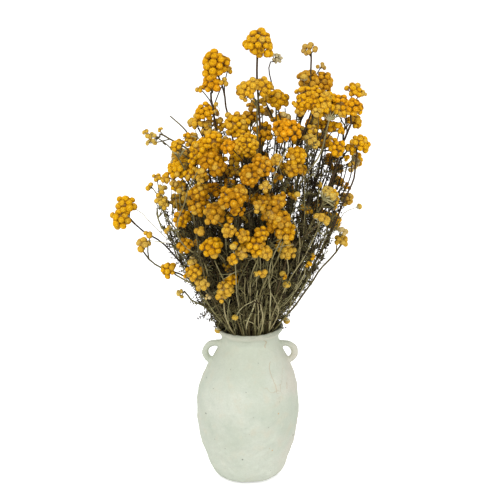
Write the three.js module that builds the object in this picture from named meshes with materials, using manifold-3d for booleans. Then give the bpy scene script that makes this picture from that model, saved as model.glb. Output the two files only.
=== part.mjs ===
import * as THREE from 'three';
import { ConvexGeometry } from 'three/addons/geometries/ConvexGeometry.js';
import { mergeVertices } from 'three/addons/utils/BufferGeometryUtils.js';
import Module from 'manifold-3d';

// A stoneware vase with two small loop handles, filled with dried lonas.
// Millimetres, +Z up, +X to the right and -Y to the front. The origin is the centre of the foot.

// Vase
const FOOT_RADIUS = 20;
const VASE_OUTLINE = [
  [FOOT_RADIUS, 0], [31.6, 3.4], [36.2, 9.8], [40.3, 20.5], [44.9, 34], [48.8, 51], [50.4, 67], [50.1, 83],
  [47.5, 97.5], [42.5, 110], [36.3, 120.5], [31.2, 128.5], [28, 135.5], [26.9, 142], [28.6, 147.3], [32, 152],
];
const OUTLINE_STEPS = 17;
const LIP_CENTRE = [30.9, 153.4];
const LIP_RADIUS = 1.8;
const LIP_TURNS = [-10, 50, 110, 175];
const INNER_OUTLINE = [[23.6, 146.4], [22.4, 141], [31.6, 120], [42.6, 98], [45.9, 75], [42.6, 45], [34, 16], [26, 7]];
const FLOOR_HEIGHT = 6;
const VASE_SIDES = 22;
const NECK_SHIFT = 2.6; // the neck stands this far to the right of the foot
const SHIFT_FROM = 75;
const SHIFT_TO = 142;

// Handles
const HANDLE_CENTRE = { out: 35.2, up: 128.2 };
const HANDLE_RADIUS = 8.9;
const HANDLE_THICKNESS = 5.2;
const HANDLE_WIDTH = 7.4;
const HANDLE_SIDES = 8;
const HANDLE_STEPS = 8;
const HANDLE_ROOT = 25;
const HANDLE_RISE = 0.5; // from its root at the neck to its top
const HANDLE_TURN = THREE.MathUtils.degToRad(192);

// The places of the heads were read from the front, from this point of view: x and z are where a head is seen
// on the plane through the vase's axis, and depth brings it forward from that plane along the line of sight.
const VIEW_DISTANCE = 1400;
const VIEW_HEIGHT = 590;

// Each spray is one or several heads on one branch. A head is [x, z, depth, radius], and the first one sits
// on the branch. The tones are gold, ochre for the darker heads and straw for the bleached ones.
const SPRAYS = [
  ['crown', 'gold', [10.5, 431, 12, 13.2]],
  ['tall_left', 'gold', [-34, 393, 10, 12], [-30.5, 411, 6, 13.4]],
  ['right_back', 'ochre', [57, 397, -24, 10.5], [71, 394, -28, 10.5], [57.5, 425, -20, 8], [69, 410, -24, 4.8]],
  ['right_crown', 'gold', [69, 373, 18, 11.6], [56, 381, 16, 11.4]],
  ['far_right', 'gold', [99.5, 371, 4, 9.8], [88, 375, 4, 9], [101, 387, -10, 8.6], [102.5, 357, -12, 7.4]],
  ['upper_middle', 'gold', [-0.5, 387, 26, 10.4], [16, 391, 25, 8.6]],
  ['middle_right', 'gold', [35.5, 363, 14, 5.4], [28.5, 379, 6, 10.2], [27, 417, -8, 5.8], [16, 377, 4, 5.4]],
  ['upper_left', 'gold', [-49.5, 356, 10, 6.6], [-40.5, 366.5, 12, 9]],
  ['middle', 'gold', [-10.5, 354, 26, 11.8]],
  ['right_dome', 'gold', [38, 349.5, 40, 13.2]],
  ['middle_back', 'ochre', [3, 361, -4, 8], [4, 372, -4, 6], [19.5, 366, -8, 6]],
  ['middle_low', 'ochre', [16.5, 344, 18, 8]],
  ['left_reach', 'straw', [-89, 341, 10, 6.6], [-96, 346, 12, 5]],
  ['left_high', 'gold', [-66.5, 333.5, 16, 8.8], [-53.5, 338, 14, 6.4]],
  ['left_cloud', 'gold', [-28.5, 312, 52, 8.4], [-36, 321, 48, 10.8], [-45.5, 331, 44, 9.6], [-33, 338, 42, 10.4]],
  ['middle_front', 'gold', [-1, 335.5, 52, 11.2], [-18, 333, 54, 7]],
  ['right_side', 'straw', [60, 338, 26, 9], [61, 350, 22, 5.4]],
  ['right_cluster', 'gold', [84.5, 332, 18, 8.8], [73, 335, 10, 6.2], [72.5, 352, 6, 7.6], [86, 351, 8, 7.2]],
  ['right_rim', 'gold', [96, 331, 2, 5], [107.5, 336, 4, 10.4], [104, 320.5, -12, 7.8]],
  ['right_low', 'gold', [43.5, 312.5, 50, 8.6], [47, 325, 52, 9], [28, 320, 54, 6.4], [28.5, 303, 48, 5]],
  ['centre', 'gold', [2.5, 304.5, 66, 10.4], [14, 314.5, 66, 10.2], [17, 294.5, 66, 5.8]],
  ['left_shoulder', 'gold', [-65, 311.5, 12, 11], [-78, 303, 10, 6], [-70.5, 297, 16, 5]],
  ['left_inner', 'gold', [-53.5, 306.5, 28, 7.2], [-44, 305.5, 28, 7.4], [-50.5, 319, 24, 7]],
  ['left_far', 'straw', [-82, 279.5, 14, 7.8], [-82, 293, 6, 4.4], [-94, 294, 2, 4.2], [-86.5, 303, -2, 5.4]],
  ['left_arm', 'gold', [-117.5, 276.5, 4, 10.6], [-122.5, 262.5, 6, 9.8]],
  ['left_twig', 'gold', [-101.5, 237.5, 16, 7.2], [-96, 247, 16, 4.8]],
  ['left_lower', 'gold', [-77, 212, 26, 8]],
  ['left_lowest', 'straw', [-65.5, 188, 18, 4.8]],
  ['left_front', 'gold', [-48, 274.5, 46, 9.4], [-46, 288, 46, 9.6]],
  ['left_drop', 'gold', [-31.5, 267.5, 60, 10.6]],
  ['centre_left', 'gold', [-16, 281.5, 72, 12.6], [-6.5, 291, 71, 6], [-9, 271.5, 73, 7], [9.5, 274, 76, 5.4]],
  ['left_edge', 'gold', [-63, 262.5, 34, 8.8], [-76, 252, 28, 5]],
  ['left_mid', 'ochre', [-59.5, 236, 40, 7.8]],
  ['left_inner_low', 'gold', [-34.5, 235, 62, 9.8], [-46.5, 250.5, 54, 5.4]],
  ['left_skirt', 'gold', [-44.5, 197.5, 46, 7.6], [-52, 209.5, 46, 8], [-53.5, 221, 42, 4.2]],
  ['front_low', 'gold', [-25, 185.5, 46, 6], [-21, 193.5, 48, 8.4], [-15, 201.5, 48, 6]],
  ['front_left', 'gold', [-18, 250.5, 76, 6.8], [-4.5, 245.5, 77, 6.8], [-17, 262, 74, 3.8]],
  ['front_middle', 'gold', [8, 235.5, 72, 9.2], [13.5, 247.5, 70, 7], [-5, 228.5, 72, 6.4], [17, 228.5, 70, 7.2],
    [-14, 222.5, 78, 5.4], [14.5, 207.5, 62, 4.8]],
  ['front_right', 'gold', [36.5, 249, 58, 9.6], [31, 261, 62, 11], [22, 268, 64, 7], [29, 279, 60, 7.8]],
  ['right_inner_low', 'gold', [38.5, 231.5, 44, 8.8]],
  ['right_lean', 'straw', [77.5, 287, 26, 9.6]],
  ['right_front', 'gold', [71.5, 261.5, 44, 8]],
  ['right_edge', 'gold', [91, 240.5, 10, 6.8], [91.5, 250, 10, 6.4]],
  ['right_tail', 'ochre', [94.5, 282.5, -14, 7.2], [87.5, 299, -12, 6], [85.5, 311, -10, 6.6], [78.5, 320, -10, 7]],
];

// The sprays behind the axis are placed by a rule: evenly between two turns, each at its own height and
// distance from the axis, with further heads in an arc above the first one.
const BACK_FROM = THREE.MathUtils.degToRad(28);
const BACK_TO = THREE.MathUtils.degToRad(160);
const BACK_SPRAYS = [
  [256, 72], [332, 74], [216, 60], [342, 58], [290, 82], [328, 28], [236, 74], [318, 64], [274, 61],
];
const BACK_HEADS = 4;
const BACK_SPREAD = 17;
const BACK_WIDENING = 1.15; // the bouquet is wider than deep

// Heads
const BEAD_CAP = THREE.MathUtils.degToRad(106);
const BEADS_BY_RADIUS = [[5.5, 3], [8.2, 4], [10, 5], [12, 6], [Infinity, 8]];
const RING_POINTS = 3;
const RING_TURN = 0.56; // where a bead's ring of points lies, as a share of its own angle
const BEAD_UNEVEN = 0.1;
const VALLEY_REACH = 0.62;
const SEAT_REACH = 0.8;
const SEAT_GAP = 0.3;
const OUTWARD_LEAN = 0.45;
const HOLD_REACH = 0.3;
const STALK_FROM = 2.4; // a further head that stands more radii off than this has a stalk of its own
const STALK_RADIUS = 1;
const STALK_BEND = 0.25;
const TONES = { gold: 0xe5a20a, ochre: 0xc07f14, straw: 0xd8bd62 };

// Stems
const SECTORS = 6;
const SECTOR_NAMES = ['front', 'front_right', 'back_right', 'back', 'back_left', 'front_left'];
const TRUNK_DISTANCE = 10;
const TRUNK_RADIUS = 2.6;
const TRUNK_GAP = 0.8; // under its middle, where the floor dips a little
const TRUNK_TOP = 126;
const BRANCH_ROOT_LOW = 96;
const BRANCH_ROOT_STEP = 3;
const BRANCH_ROOTS = 9;
// A branch passes the gate, a ring in the vase's neck, the further out the more it leans.
const GATE_HEIGHT = 146;
const GATE_NEAR = 9;
const GATE_FAR = 19.2;
const GATE_SLOPE = 2;
const GATE_TURN = THREE.MathUtils.degToRad(19);
const BRANCH_SPACING = 30;
const BRANCH_RADIUS = 1.15;
const BRANCH_TIP = 0.8;
const BRANCH_SWAY = 3;
const APPROACH_LENGTH = 11; // the straight end of a branch, under its head
const BRANCH_CLEAR = 1.9;
const PUSH_PASSES = 60;
const STEM_COLOURS = [0x6a5c3c, 0x54442c, 0x4d3c28, 0x574a30, 0x5c5034, 0x665a3a];

// Leaves
const LEAF_LOW = 158;
const LEAF_HIGH = 296;
const LEAF_SHARE = 0.48; // of the stretches of a branch that carry leaves
const LEAF_LENGTH = 12;
const LEAF_BASE = 2.6;
const LEAF_SLANT = 0.9;
const LEAF_CLEAR = 1;

const wasm = await Module();
wasm.setup();

const UP = new THREE.Vector3(0, 0, 1);

// Evenly spread numbers from 0 to 1 that are the same in every run.
function seededRandom(seed) {
  let state = seed;
  return () => {
    state = (state + 0x6d2b79f5) | 0;
    let mixed = Math.imul(state ^ (state >>> 15), 1 | state);
    mixed = (mixed + Math.imul(mixed ^ (mixed >>> 7), 61 | mixed)) ^ mixed;
    return ((mixed ^ (mixed >>> 14)) >>> 0) / 4294967296;
  };
}

function toSolid(geometry) {
  geometry.deleteAttribute('normal');
  geometry.deleteAttribute('uv');
  const merged = mergeVertices(geometry, 1e-4);
  const index = merged.index.array;
  const triangles = [];
  for (let i = 0; i < index.length; i += 3) {
    const [a, b, c] = index.slice(i, i + 3);
    if (a !== b && b !== c && c !== a) {
      triangles.push(a, b, c);
    }
  }
  const vertProperties = new Float32Array(merged.attributes.position.array);
  return new wasm.Manifold(new wasm.Mesh({ numProp: 3, vertProperties, triVerts: new Uint32Array(triangles) }));
}

// Keeps the largest body, so loose scraps go and sealed hollows are filled.
function toGeometry(solid) {
  const bodies = solid.decompose();
  const largest = bodies.reduce((best, body) => (body.volume() > best.volume() ? body : best));
  const mesh = largest.getMesh();
  const geometry = new THREE.BufferGeometry();
  geometry.setAttribute('position', new THREE.BufferAttribute(new Float32Array(mesh.vertProperties), 3));
  geometry.setIndex(new THREE.BufferAttribute(new Uint32Array(mesh.triVerts), 1));
  geometry.computeVertexNormals();
  return geometry;
}

function namedMesh(name, geometry, colour, roughness) {
  const material = new THREE.MeshStandardMaterial({ color: colour, roughness, metalness: 0 });
  const mesh = new THREE.Mesh(geometry, material);
  mesh.name = name;
  return mesh;
}

// The directions along and across a path at each of its points, carried along it without a twist.
function pathFrames(places) {
  const curve = new THREE.CatmullRomCurve3(places, false, 'centripetal');
  let across = new THREE.Vector3(0, 1, 0);
  return places.map((place, i) => {
    const along = curve.getTangent(i / (places.length - 1));
    across = across.clone().addScaledVector(along, -across.dot(along)).normalize();
    return { along, across, beside: along.clone().cross(across) };
  });
}

// A closed limb: a cylinder bent so that its rings lie at the path's points, thinning from end to end.
// Where leafTip gives a point for a stretch between two rings, the sides there rise to it as a leaf.
function limb(places, fromRadius, toRadius, sides, leafTip = () => null) {
  const steps = places.length - 1;
  const frames = pathFrames(places);
  const cylinder = new THREE.CylinderGeometry(1, 1, 1, sides, steps);
  const { position } = cylinder.attributes;
  const corners = [];
  for (let i = 0; i < position.count; i += 1) {
    const ring = Math.round((0.5 + position.getY(i)) * steps);
    const radius = THREE.MathUtils.lerp(fromRadius, toRadius, ring / steps);
    const place = places[ring].clone()
      .addScaledVector(frames[ring].beside, position.getX(i) * radius)
      .addScaledVector(frames[ring].across, position.getZ(i) * radius);
    corners.push({ place, ring });
  }
  const triangles = [];
  for (let i = 0; i < cylinder.index.count; i += 3) {
    const triangle = [0, 1, 2].map((k) => corners[cylinder.index.getX(i + k)]);
    const low = Math.min(...triangle.map(({ ring }) => ring));
    const onLowRing = triangle.filter(({ ring }) => ring === low).length;
    const [a, b, c] = triangle.map(({ place }) => place);
    const middle = a.clone().add(b).add(c).divideScalar(3);
    const tip = onLowRing === 2 ? leafTip(low, middle, frames[low].along) : null;
    if (tip) {
      triangles.push(a, b, tip, b, c, tip, c, a, tip);
    } else {
      triangles.push(a, b, c);
    }
  }
  return new THREE.BufferGeometry().setFromPoints(triangles);
}

function neckShift(height) {
  return NECK_SHIFT * THREE.MathUtils.smoothstep(height, SHIFT_FROM, SHIFT_TO);
}

function vaseBody() {
  const toPoints = (pairs) => pairs.map(([radius, height]) => new THREE.Vector2(radius, height));
  const outer = new THREE.SplineCurve(toPoints(VASE_OUTLINE)).getSpacedPoints(OUTLINE_STEPS);
  const lip = LIP_TURNS.map((degrees) => {
    const turn = THREE.MathUtils.degToRad(degrees);
    return new THREE.Vector2(
      LIP_CENTRE[0] + LIP_RADIUS * Math.cos(turn),
      LIP_CENTRE[1] + LIP_RADIUS * Math.sin(turn),
    );
  });
  const profile = [new THREE.Vector2(0, 0), ...outer, ...lip, ...toPoints([...INNER_OUTLINE, [0, FLOOR_HEIGHT]])];
  const geometry = new THREE.LatheGeometry(profile, VASE_SIDES).rotateX(Math.PI / 2);
  const position = geometry.attributes.position;
  for (let i = 0; i < position.count; i += 1) {
    position.setX(i, position.getX(i) + neckShift(position.getZ(i)));
  }
  return toSolid(geometry);
}

// A loop from the neck out and down to the shoulder. Both ends are sunk in the vase's wall.
function handle(side) {
  const place = (out, up) => new THREE.Vector3(neckShift(HANDLE_CENTRE.up) + side * out, 0, up);
  const places = [place(HANDLE_ROOT, HANDLE_CENTRE.up + HANDLE_RADIUS - HANDLE_RISE)];
  for (let i = 0; i <= HANDLE_STEPS; i += 1) {
    const turn = Math.PI / 2 - (i / HANDLE_STEPS) * HANDLE_TURN;
    places.push(place(
      HANDLE_CENTRE.out + HANDLE_RADIUS * Math.cos(turn),
      HANDLE_CENTRE.up + HANDLE_RADIUS * Math.sin(turn),
    ));
  }
  const geometry = limb(places, HANDLE_THICKNESS / 2, HANDLE_THICKNESS / 2, HANDLE_SIDES);
  geometry.scale(1, HANDLE_WIDTH / HANDLE_THICKNESS, 1);
  return toSolid(geometry);
}

function vase() {
  const solid = vaseBody().add(handle(-1)).add(handle(1));
  return namedMesh('vase', toGeometry(solid), 0xd5dbcc, 0.8);
}

function seenPlace(x, z, depth) {
  const slide = depth / VIEW_DISTANCE;
  return new THREE.Vector3(x * (1 - slide), -depth, z + (VIEW_HEIGHT - z) * slide);
}

// A head faces away from the mouth of the vase, and leans a little further out.
function headAxis(centre) {
  const outward = new THREE.Vector3(centre.x - NECK_SHIFT, centre.y, 0);
  const growth = new THREE.Vector3(outward.x, outward.y, centre.z - GATE_HEIGHT).normalize();
  return growth.addScaledVector(outward.normalize(), OUTWARD_LEAN).addScaledVector(UP, OUTWARD_LEAN).normalize();
}

// The first head of a spray ends in a seat for the branch. A further one narrows into the nearest
// earlier one, or stands on a stalk that grows from it.
function growHead(centre, radius, earlier) {
  const axis = headAxis(centre);
  if (earlier.length === 0) {
    return { centre, radius, axis, root: centre.clone().addScaledVector(axis, -SEAT_REACH * radius) };
  }
  const carrier = earlier.reduce((best, head) => (
    head.centre.distanceTo(centre) < best.centre.distanceTo(centre) ? head : best));
  const hold = carrier.centre.clone().addScaledVector(carrier.axis, -HOLD_REACH * carrier.radius);
  const away = centre.clone().sub(hold);
  const apart = away.length();
  axis.add(away.normalize()).normalize();
  if (apart < STALK_FROM * radius) {
    return { centre, radius, axis, root: hold };
  }
  const root = centre.clone().addScaledVector(axis, -SEAT_REACH * radius);
  const bend = root.clone().addScaledVector(axis, -STALK_BEND * root.distanceTo(hold));
  return { centre, radius, axis, root, stalk: [carrier.centre, bend, root.clone().lerp(centre, 0.4)] };
}

function growSpray(name, tone, places) {
  const heads = [];
  for (const { centre, radius } of places) {
    heads.push(growHead(centre, radius, heads));
  }
  return { name, tone, heads };
}

function frontSprays() {
  return SPRAYS.map(([place, tone, ...rows]) => growSpray(
    `heads_${place}`,
    tone,
    rows.map(([x, z, depth, radius]) => ({ centre: seenPlace(x, z, depth), radius })),
  ));
}

function backSprays() {
  return BACK_SPRAYS.map(([height, distance], order) => {
    const random = seededRandom(101 + order);
    const turn = THREE.MathUtils.lerp(BACK_FROM, BACK_TO, order / (BACK_SPRAYS.length - 1));
    const middle = new THREE.Vector3(
      NECK_SHIFT + distance * BACK_WIDENING * Math.cos(turn),
      distance * Math.sin(turn),
      height,
    );
    const sideways = new THREE.Vector3(-Math.sin(turn), Math.cos(turn), 0);
    const places = [{ centre: middle, radius: 8.5 + 3 * random() }];
    for (let i = 1; i < BACK_HEADS; i += 1) {
      const around = ((i - 1) / (BACK_HEADS - 2)) * Math.PI + 0.6 * random() - 0.3;
      const centre = middle.clone()
        .addScaledVector(sideways, BACK_SPREAD * Math.cos(around))
        .addScaledVector(UP, BACK_SPREAD * (0.8 * Math.sin(around) + 0.15));
      places.push({ centre, radius: 6.5 + 3 * random() });
    }
    return growSpray(`heads_back_${order + 1}`, order % 3 === 1 ? 'ochre' : 'gold', places);
  });
}

function beadCount(radius) {
  return BEADS_BY_RADIUS.find(([limit]) => radius < limit)[1];
}

// A dome of beads around its centre. Points on a sphere are joined as their convex hull, and each is then
// moved out along its own ray: a ring of points to the top of each bead, the points between beads less far,
// and the one below to the head's root.
function beadDome({ centre, radius, axis, root }, random) {
  const count = beadCount(radius);
  const beadTurn = Math.acos(1 - (1 - Math.cos(BEAD_CAP)) / count);
  const upright = new THREE.Quaternion().setFromUnitVectors(new THREE.Vector3(0, 1, 0), axis);
  const down = root.clone().sub(centre).normalize();
  const spin = random() * Math.PI * 2;
  const points = [{ direction: down, reach: root.distanceTo(centre) }];
  const beads = [];
  for (let i = 0; i < count; i += 1) {
    const rise = 1 - ((i + 0.5) / count) * (1 - Math.cos(BEAD_CAP));
    const turn = spin + i * Math.PI * (3 - Math.sqrt(5));
    const bead = new THREE.Vector3().setFromSphericalCoords(1, Math.acos(rise), turn).applyQuaternion(upright);
    const side = new THREE.Vector3(bead.y, bead.z, bead.x).cross(bead).normalize();
    const reach = radius * (1 + BEAD_UNEVEN * (random() - 0.5));
    beads.push(bead);
    for (let k = 0; k < RING_POINTS; k += 1) {
      const ringAxis = side.clone().applyAxisAngle(bead, ((k + random() * 0.3) / RING_POINTS) * Math.PI * 2);
      points.push({ direction: bead.clone().applyAxisAngle(ringAxis, RING_TURN * beadTurn), reach });
    }
  }
  const betweenBeads = new ConvexGeometry([...beads, down]).attributes.position;
  for (let i = 0; i < betweenBeads.count; i += 3) {
    const direction = new THREE.Vector3();
    for (let k = 0; k < 3; k += 1) {
      direction.add(new THREE.Vector3().fromBufferAttribute(betweenBeads, i + k));
    }
    points.push({ direction: direction.normalize(), reach: radius * VALLEY_REACH });
  }

  const geometry = new ConvexGeometry(points.map(({ direction }) => direction));
  const position = geometry.attributes.position;
  for (let i = 0; i < position.count; i += 1) {
    const corner = new THREE.Vector3().fromBufferAttribute(position, i);
    const point = points.reduce((best, other) => (
      other.direction.distanceToSquared(corner) < best.direction.distanceToSquared(corner) ? other : best));
    corner.copy(point.direction).multiplyScalar(point.reach).add(centre);
    position.setXYZ(i, corner.x, corner.y, corner.z);
  }
  return toSolid(geometry);
}

function sprayMesh(spray, order) {
  const random = seededRandom(11 + order);
  const pieces = [];
  for (const head of spray.heads) {
    pieces.push(beadDome(head, random));
    if (head.stalk) {
      pieces.push(toSolid(limb(head.stalk, STALK_RADIUS, STALK_RADIUS, 3)));
    }
  }
  const solid = pieces.reduce((whole, piece) => whole.add(piece));
  return namedMesh(spray.name, toGeometry(solid), TONES[spray.tone], 0.9);
}

// What a branch keeps clear of: every head, its underside and its stalk.
function listObstacles(sprays) {
  const obstacles = [];
  for (const spray of sprays) {
    spray.heads.forEach(({ centre, radius, root, stalk }, i) => {
      obstacles.push({ centre, radius, owner: i === 0 ? spray : null });
      if (stalk) {
        const path = new THREE.CatmullRomCurve3(stalk, false, 'centripetal');
        for (const share of [0.2, 0.4, 0.6, 0.8]) {
          obstacles.push({ centre: path.getPoint(share), radius: STALK_RADIUS, owner: null });
        }
      } else if (i > 0) {
        obstacles.push({ centre: centre.clone().lerp(root, 0.6), radius: 0.5 * radius, owner: null });
      }
    });
  }
  return obstacles;
}

function turnOf(point) {
  return Math.atan2(point.y, point.x - NECK_SHIFT);
}

function distanceOut(point) {
  return Math.hypot(point.x - NECK_SHIFT, point.y);
}

function around(turn, distance, height) {
  return new THREE.Vector3(NECK_SHIFT + distance * Math.cos(turn), distance * Math.sin(turn), height);
}

function sectorTurn(sector) {
  return -Math.PI / 2 + (sector * 2 * Math.PI) / SECTORS;
}

function turnFrom(sector, turn) {
  return THREE.MathUtils.euclideanModulo(turn - sectorTurn(sector) + Math.PI, 2 * Math.PI) - Math.PI;
}

function sectorOf(point) {
  return Math.round(THREE.MathUtils.euclideanModulo(turnOf(point) + Math.PI / 2, 2 * Math.PI)
    / (2 * Math.PI / SECTORS)) % SECTORS;
}

// Moves a point back between the two upright planes that bound its sector.
function keepInSector(point, sector, clearance) {
  const distance = Math.max(distanceOut(point), 2 * clearance + 1);
  const widest = Math.PI / SECTORS - Math.asin(Math.min(0.9, clearance / distance));
  const turn = THREE.MathUtils.clamp(turnFrom(sector, turnOf(point)), -widest, widest);
  point.copy(around(sectorTurn(sector) + turn, distance, point.z));
}

// Moves the points of a branch off whatever a stretch of it comes too near to, and back into its sector.
function pushOut(places, spray, sector, obstacles) {
  for (let i = 1; i < places.length; i += 1) {
    const stretch = new THREE.Line3(places[i - 1], places[i]);
    for (const { centre, radius, owner } of obstacles) {
      const nearest = stretch.closestPointToPoint(centre, true, new THREE.Vector3());
      const lacking = radius + BRANCH_CLEAR - nearest.distanceTo(centre);
      const own = owner === spray && i === places.length - 1;
      if (lacking > 0 && !own) {
        const away = nearest.sub(centre).setLength(lacking * 0.6);
        places[i].add(away);
        if (i > 1) {
          places[i - 1].add(away);
        }
      }
    }
    keepInSector(places[i], sector, BRANCH_CLEAR);
  }
}

// From the trunk in the vase through the neck and on, nearly straight, to just under the first head's seat.
function branchPath(spray, sector, order, count, obstacles, random) {
  const head = spray.heads[0];
  const tip = head.root.clone().addScaledVector(head.axis, -SEAT_GAP);
  const approach = tip.clone().addScaledVector(head.axis, -APPROACH_LENGTH);
  const slope = distanceOut(tip) / (tip.z - GATE_HEIGHT);
  const spread = count > 1 ? order / (count - 1) - 0.5 : 0;
  const gate = around(
    sectorTurn(sector) + 2 * GATE_TURN * spread,
    THREE.MathUtils.lerp(GATE_NEAR, GATE_FAR, THREE.MathUtils.clamp(slope * GATE_SLOPE, 0, 1)),
    GATE_HEIGHT,
  );
  const root = around(sectorTurn(sector), TRUNK_DISTANCE, BRANCH_ROOT_LOW + BRANCH_ROOT_STEP * (order % BRANCH_ROOTS));
  const steps = Math.max(2, Math.round(gate.distanceTo(approach) / BRANCH_SPACING));
  const free = [];
  for (let i = 1; i < steps; i += 1) {
    const point = gate.clone().lerp(approach, i / steps);
    const sway = BRANCH_SWAY * Math.sin((i / steps) * Math.PI);
    point.x += sway * (random() - 0.5);
    point.z += sway * random();
    free.push(point);
  }
  for (let pass = 0; pass < PUSH_PASSES; pass += 1) {
    pushOut([gate, ...free, approach], spray, sector, obstacles);
  }
  return [root, gate, ...free, approach, tip];
}

// Adds pairs of rings near each other to a branch's path, for the leaves to stand between.
function addLeafRings(places, random) {
  const rings = [places[0]];
  const leafy = new Set();
  for (let i = 1; i < places.length; i += 1) {
    const length = places[i].distanceTo(places[i - 1]);
    const middle = places[i - 1].clone().lerp(places[i], 0.3 + 0.4 * random());
    if (middle.z > LEAF_LOW && middle.z < LEAF_HIGH && random() < LEAF_SHARE) {
      leafy.add(rings.length);
      rings.push(middle, middle.clone().lerp(places[i], LEAF_BASE / length));
    }
    rings.push(places[i]);
  }
  return { rings, leafy };
}

// Gives the tip of each leaf that has room between the heads and inside its sector.
function leafTips(rings, leafy, sector, obstacles, random) {
  return (ring, foot, along) => {
    if (!leafy.has(ring)) {
      return null;
    }
    const direction = foot.clone().sub(rings[ring].clone().lerp(rings[ring + 1], 1 / 3)).normalize();
    direction.addScaledVector(along, LEAF_SLANT * (0.6 + 0.8 * random())).normalize();
    const tip = foot.clone().addScaledVector(direction, LEAF_LENGTH * (0.7 + 0.6 * random()));
    const middle = foot.clone().lerp(tip, 0.6);
    const kept = tip.clone();
    keepInSector(kept, sector, LEAF_CLEAR);
    const free = kept.distanceTo(tip) < 0.01 && obstacles.every(({ centre, radius }) => (
      tip.distanceTo(centre) > radius + LEAF_CLEAR && middle.distanceTo(centre) > radius + LEAF_CLEAR));
    return free ? tip : null;
  };
}

function stemMesh(sector, sprays, obstacles) {
  const random = seededRandom(501 + sector);
  const carried = sprays
    .filter((spray) => sectorOf(spray.heads[0].root) === sector)
    .sort((a, b) => turnFrom(sector, turnOf(a.heads[0].root)) - turnFrom(sector, turnOf(b.heads[0].root)));
  const turn = sectorTurn(sector);
  const trunkPath = [FLOOR_HEIGHT + TRUNK_GAP, TRUNK_TOP].map((height) => around(turn, TRUNK_DISTANCE, height));
  let solid = toSolid(limb(trunkPath, TRUNK_RADIUS, TRUNK_RADIUS * 0.9, 6));
  carried.forEach((spray, order) => {
    const places = branchPath(spray, sector, order, carried.length, obstacles, random);
    const { rings, leafy } = addLeafRings(places, random);
    const leafTip = leafTips(rings, leafy, sector, obstacles, random);
    solid = solid.add(toSolid(limb(rings, BRANCH_RADIUS, BRANCH_TIP, 3, leafTip)));
  });
  return namedMesh(`stems_${SECTOR_NAMES[sector]}`, toGeometry(solid), STEM_COLOURS[sector], 0.95);
}

const sprays = [...frontSprays(), ...backSprays()];
const obstacles = listObstacles(sprays);
const lonas = new THREE.Group();
lonas.add(vase());
for (let sector = 0; sector < SECTORS; sector += 1) {
  lonas.add(stemMesh(sector, sprays, obstacles));
}
sprays.forEach((spray, order) => lonas.add(sprayMesh(spray, order)));

export default lonas;
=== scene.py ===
import math
from functools import cached_property, lru_cache
from random import Random

import bmesh
import bpy
import numpy as np
from mathutils import Matrix, Vector, noise


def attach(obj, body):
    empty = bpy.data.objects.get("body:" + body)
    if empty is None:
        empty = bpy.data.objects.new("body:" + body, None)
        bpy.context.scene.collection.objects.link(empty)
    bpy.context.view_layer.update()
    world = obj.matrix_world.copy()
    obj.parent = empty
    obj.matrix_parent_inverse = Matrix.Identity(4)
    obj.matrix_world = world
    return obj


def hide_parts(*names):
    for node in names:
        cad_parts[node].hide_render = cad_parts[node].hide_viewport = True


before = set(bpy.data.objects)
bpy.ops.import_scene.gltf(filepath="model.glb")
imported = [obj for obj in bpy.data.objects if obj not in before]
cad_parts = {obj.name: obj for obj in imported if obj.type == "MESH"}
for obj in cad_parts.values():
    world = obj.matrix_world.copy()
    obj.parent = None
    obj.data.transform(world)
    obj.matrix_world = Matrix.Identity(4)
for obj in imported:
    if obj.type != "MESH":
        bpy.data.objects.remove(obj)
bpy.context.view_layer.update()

# A stoneware vase with two small loop handles, filled with dried lonas.
# The forms are worked out in millimetres, +Z up and -Y to the front, and become metres when a piece is made.
MM = 0.001
BODY = "root"
UP = Vector((0, 0, 1))

# The sizes of the frame's own solids

# Vase
VASE_OUTLINE = [
    (20, 0), (31.6, 3.4), (36.2, 9.8), (40.3, 20.5), (44.9, 34), (48.8, 51), (50.4, 67), (50.1, 83),
    (47.8, 97.5), (43, 110), (37.6, 120.5), (33.6, 128.5), (30, 135.5), (27.3, 141.5), (28.3, 146.3),
    (31.4, 150.6),
]
INNER_OUTLINE = [
    (23.6, 146.4), (22.4, 141), (31.6, 120), (42.6, 98), (45.9, 75), (42.6, 45), (34, 16), (26, 7),
]
LIP_CENTRE = (30.9, 153.4)
LIP_RADIUS = 1.8
RIM_TILT_SIDE, RIM_TILT_FRONT = 0.035, 0.035
RIM_TILT_HEIGHTS = 138, 152
COLLAR_GROOVE = 146.6
FLOOR_HEIGHT = 6
NECK_SHIFT = 2.6
SHIFT_FROM, SHIFT_TO = 75, 142
HANDLE_OUT, HANDLE_UP = 35.2, 128.2
HANDLE_RADIUS = 8.9
HANDLE_THICKNESS, HANDLE_WIDTH = 6.2, 7.8
HANDLE_ROOT = 25
HANDLE_RISE = 0.5
HANDLE_TURN = math.radians(192)

# The heads' places were read from the front: x and z are where a head is seen on the plane through the
# vase's axis, and depth brings it forward from that plane along the line of sight.
VIEW_DISTANCE = 1400
VIEW_HEIGHT = 590

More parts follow.
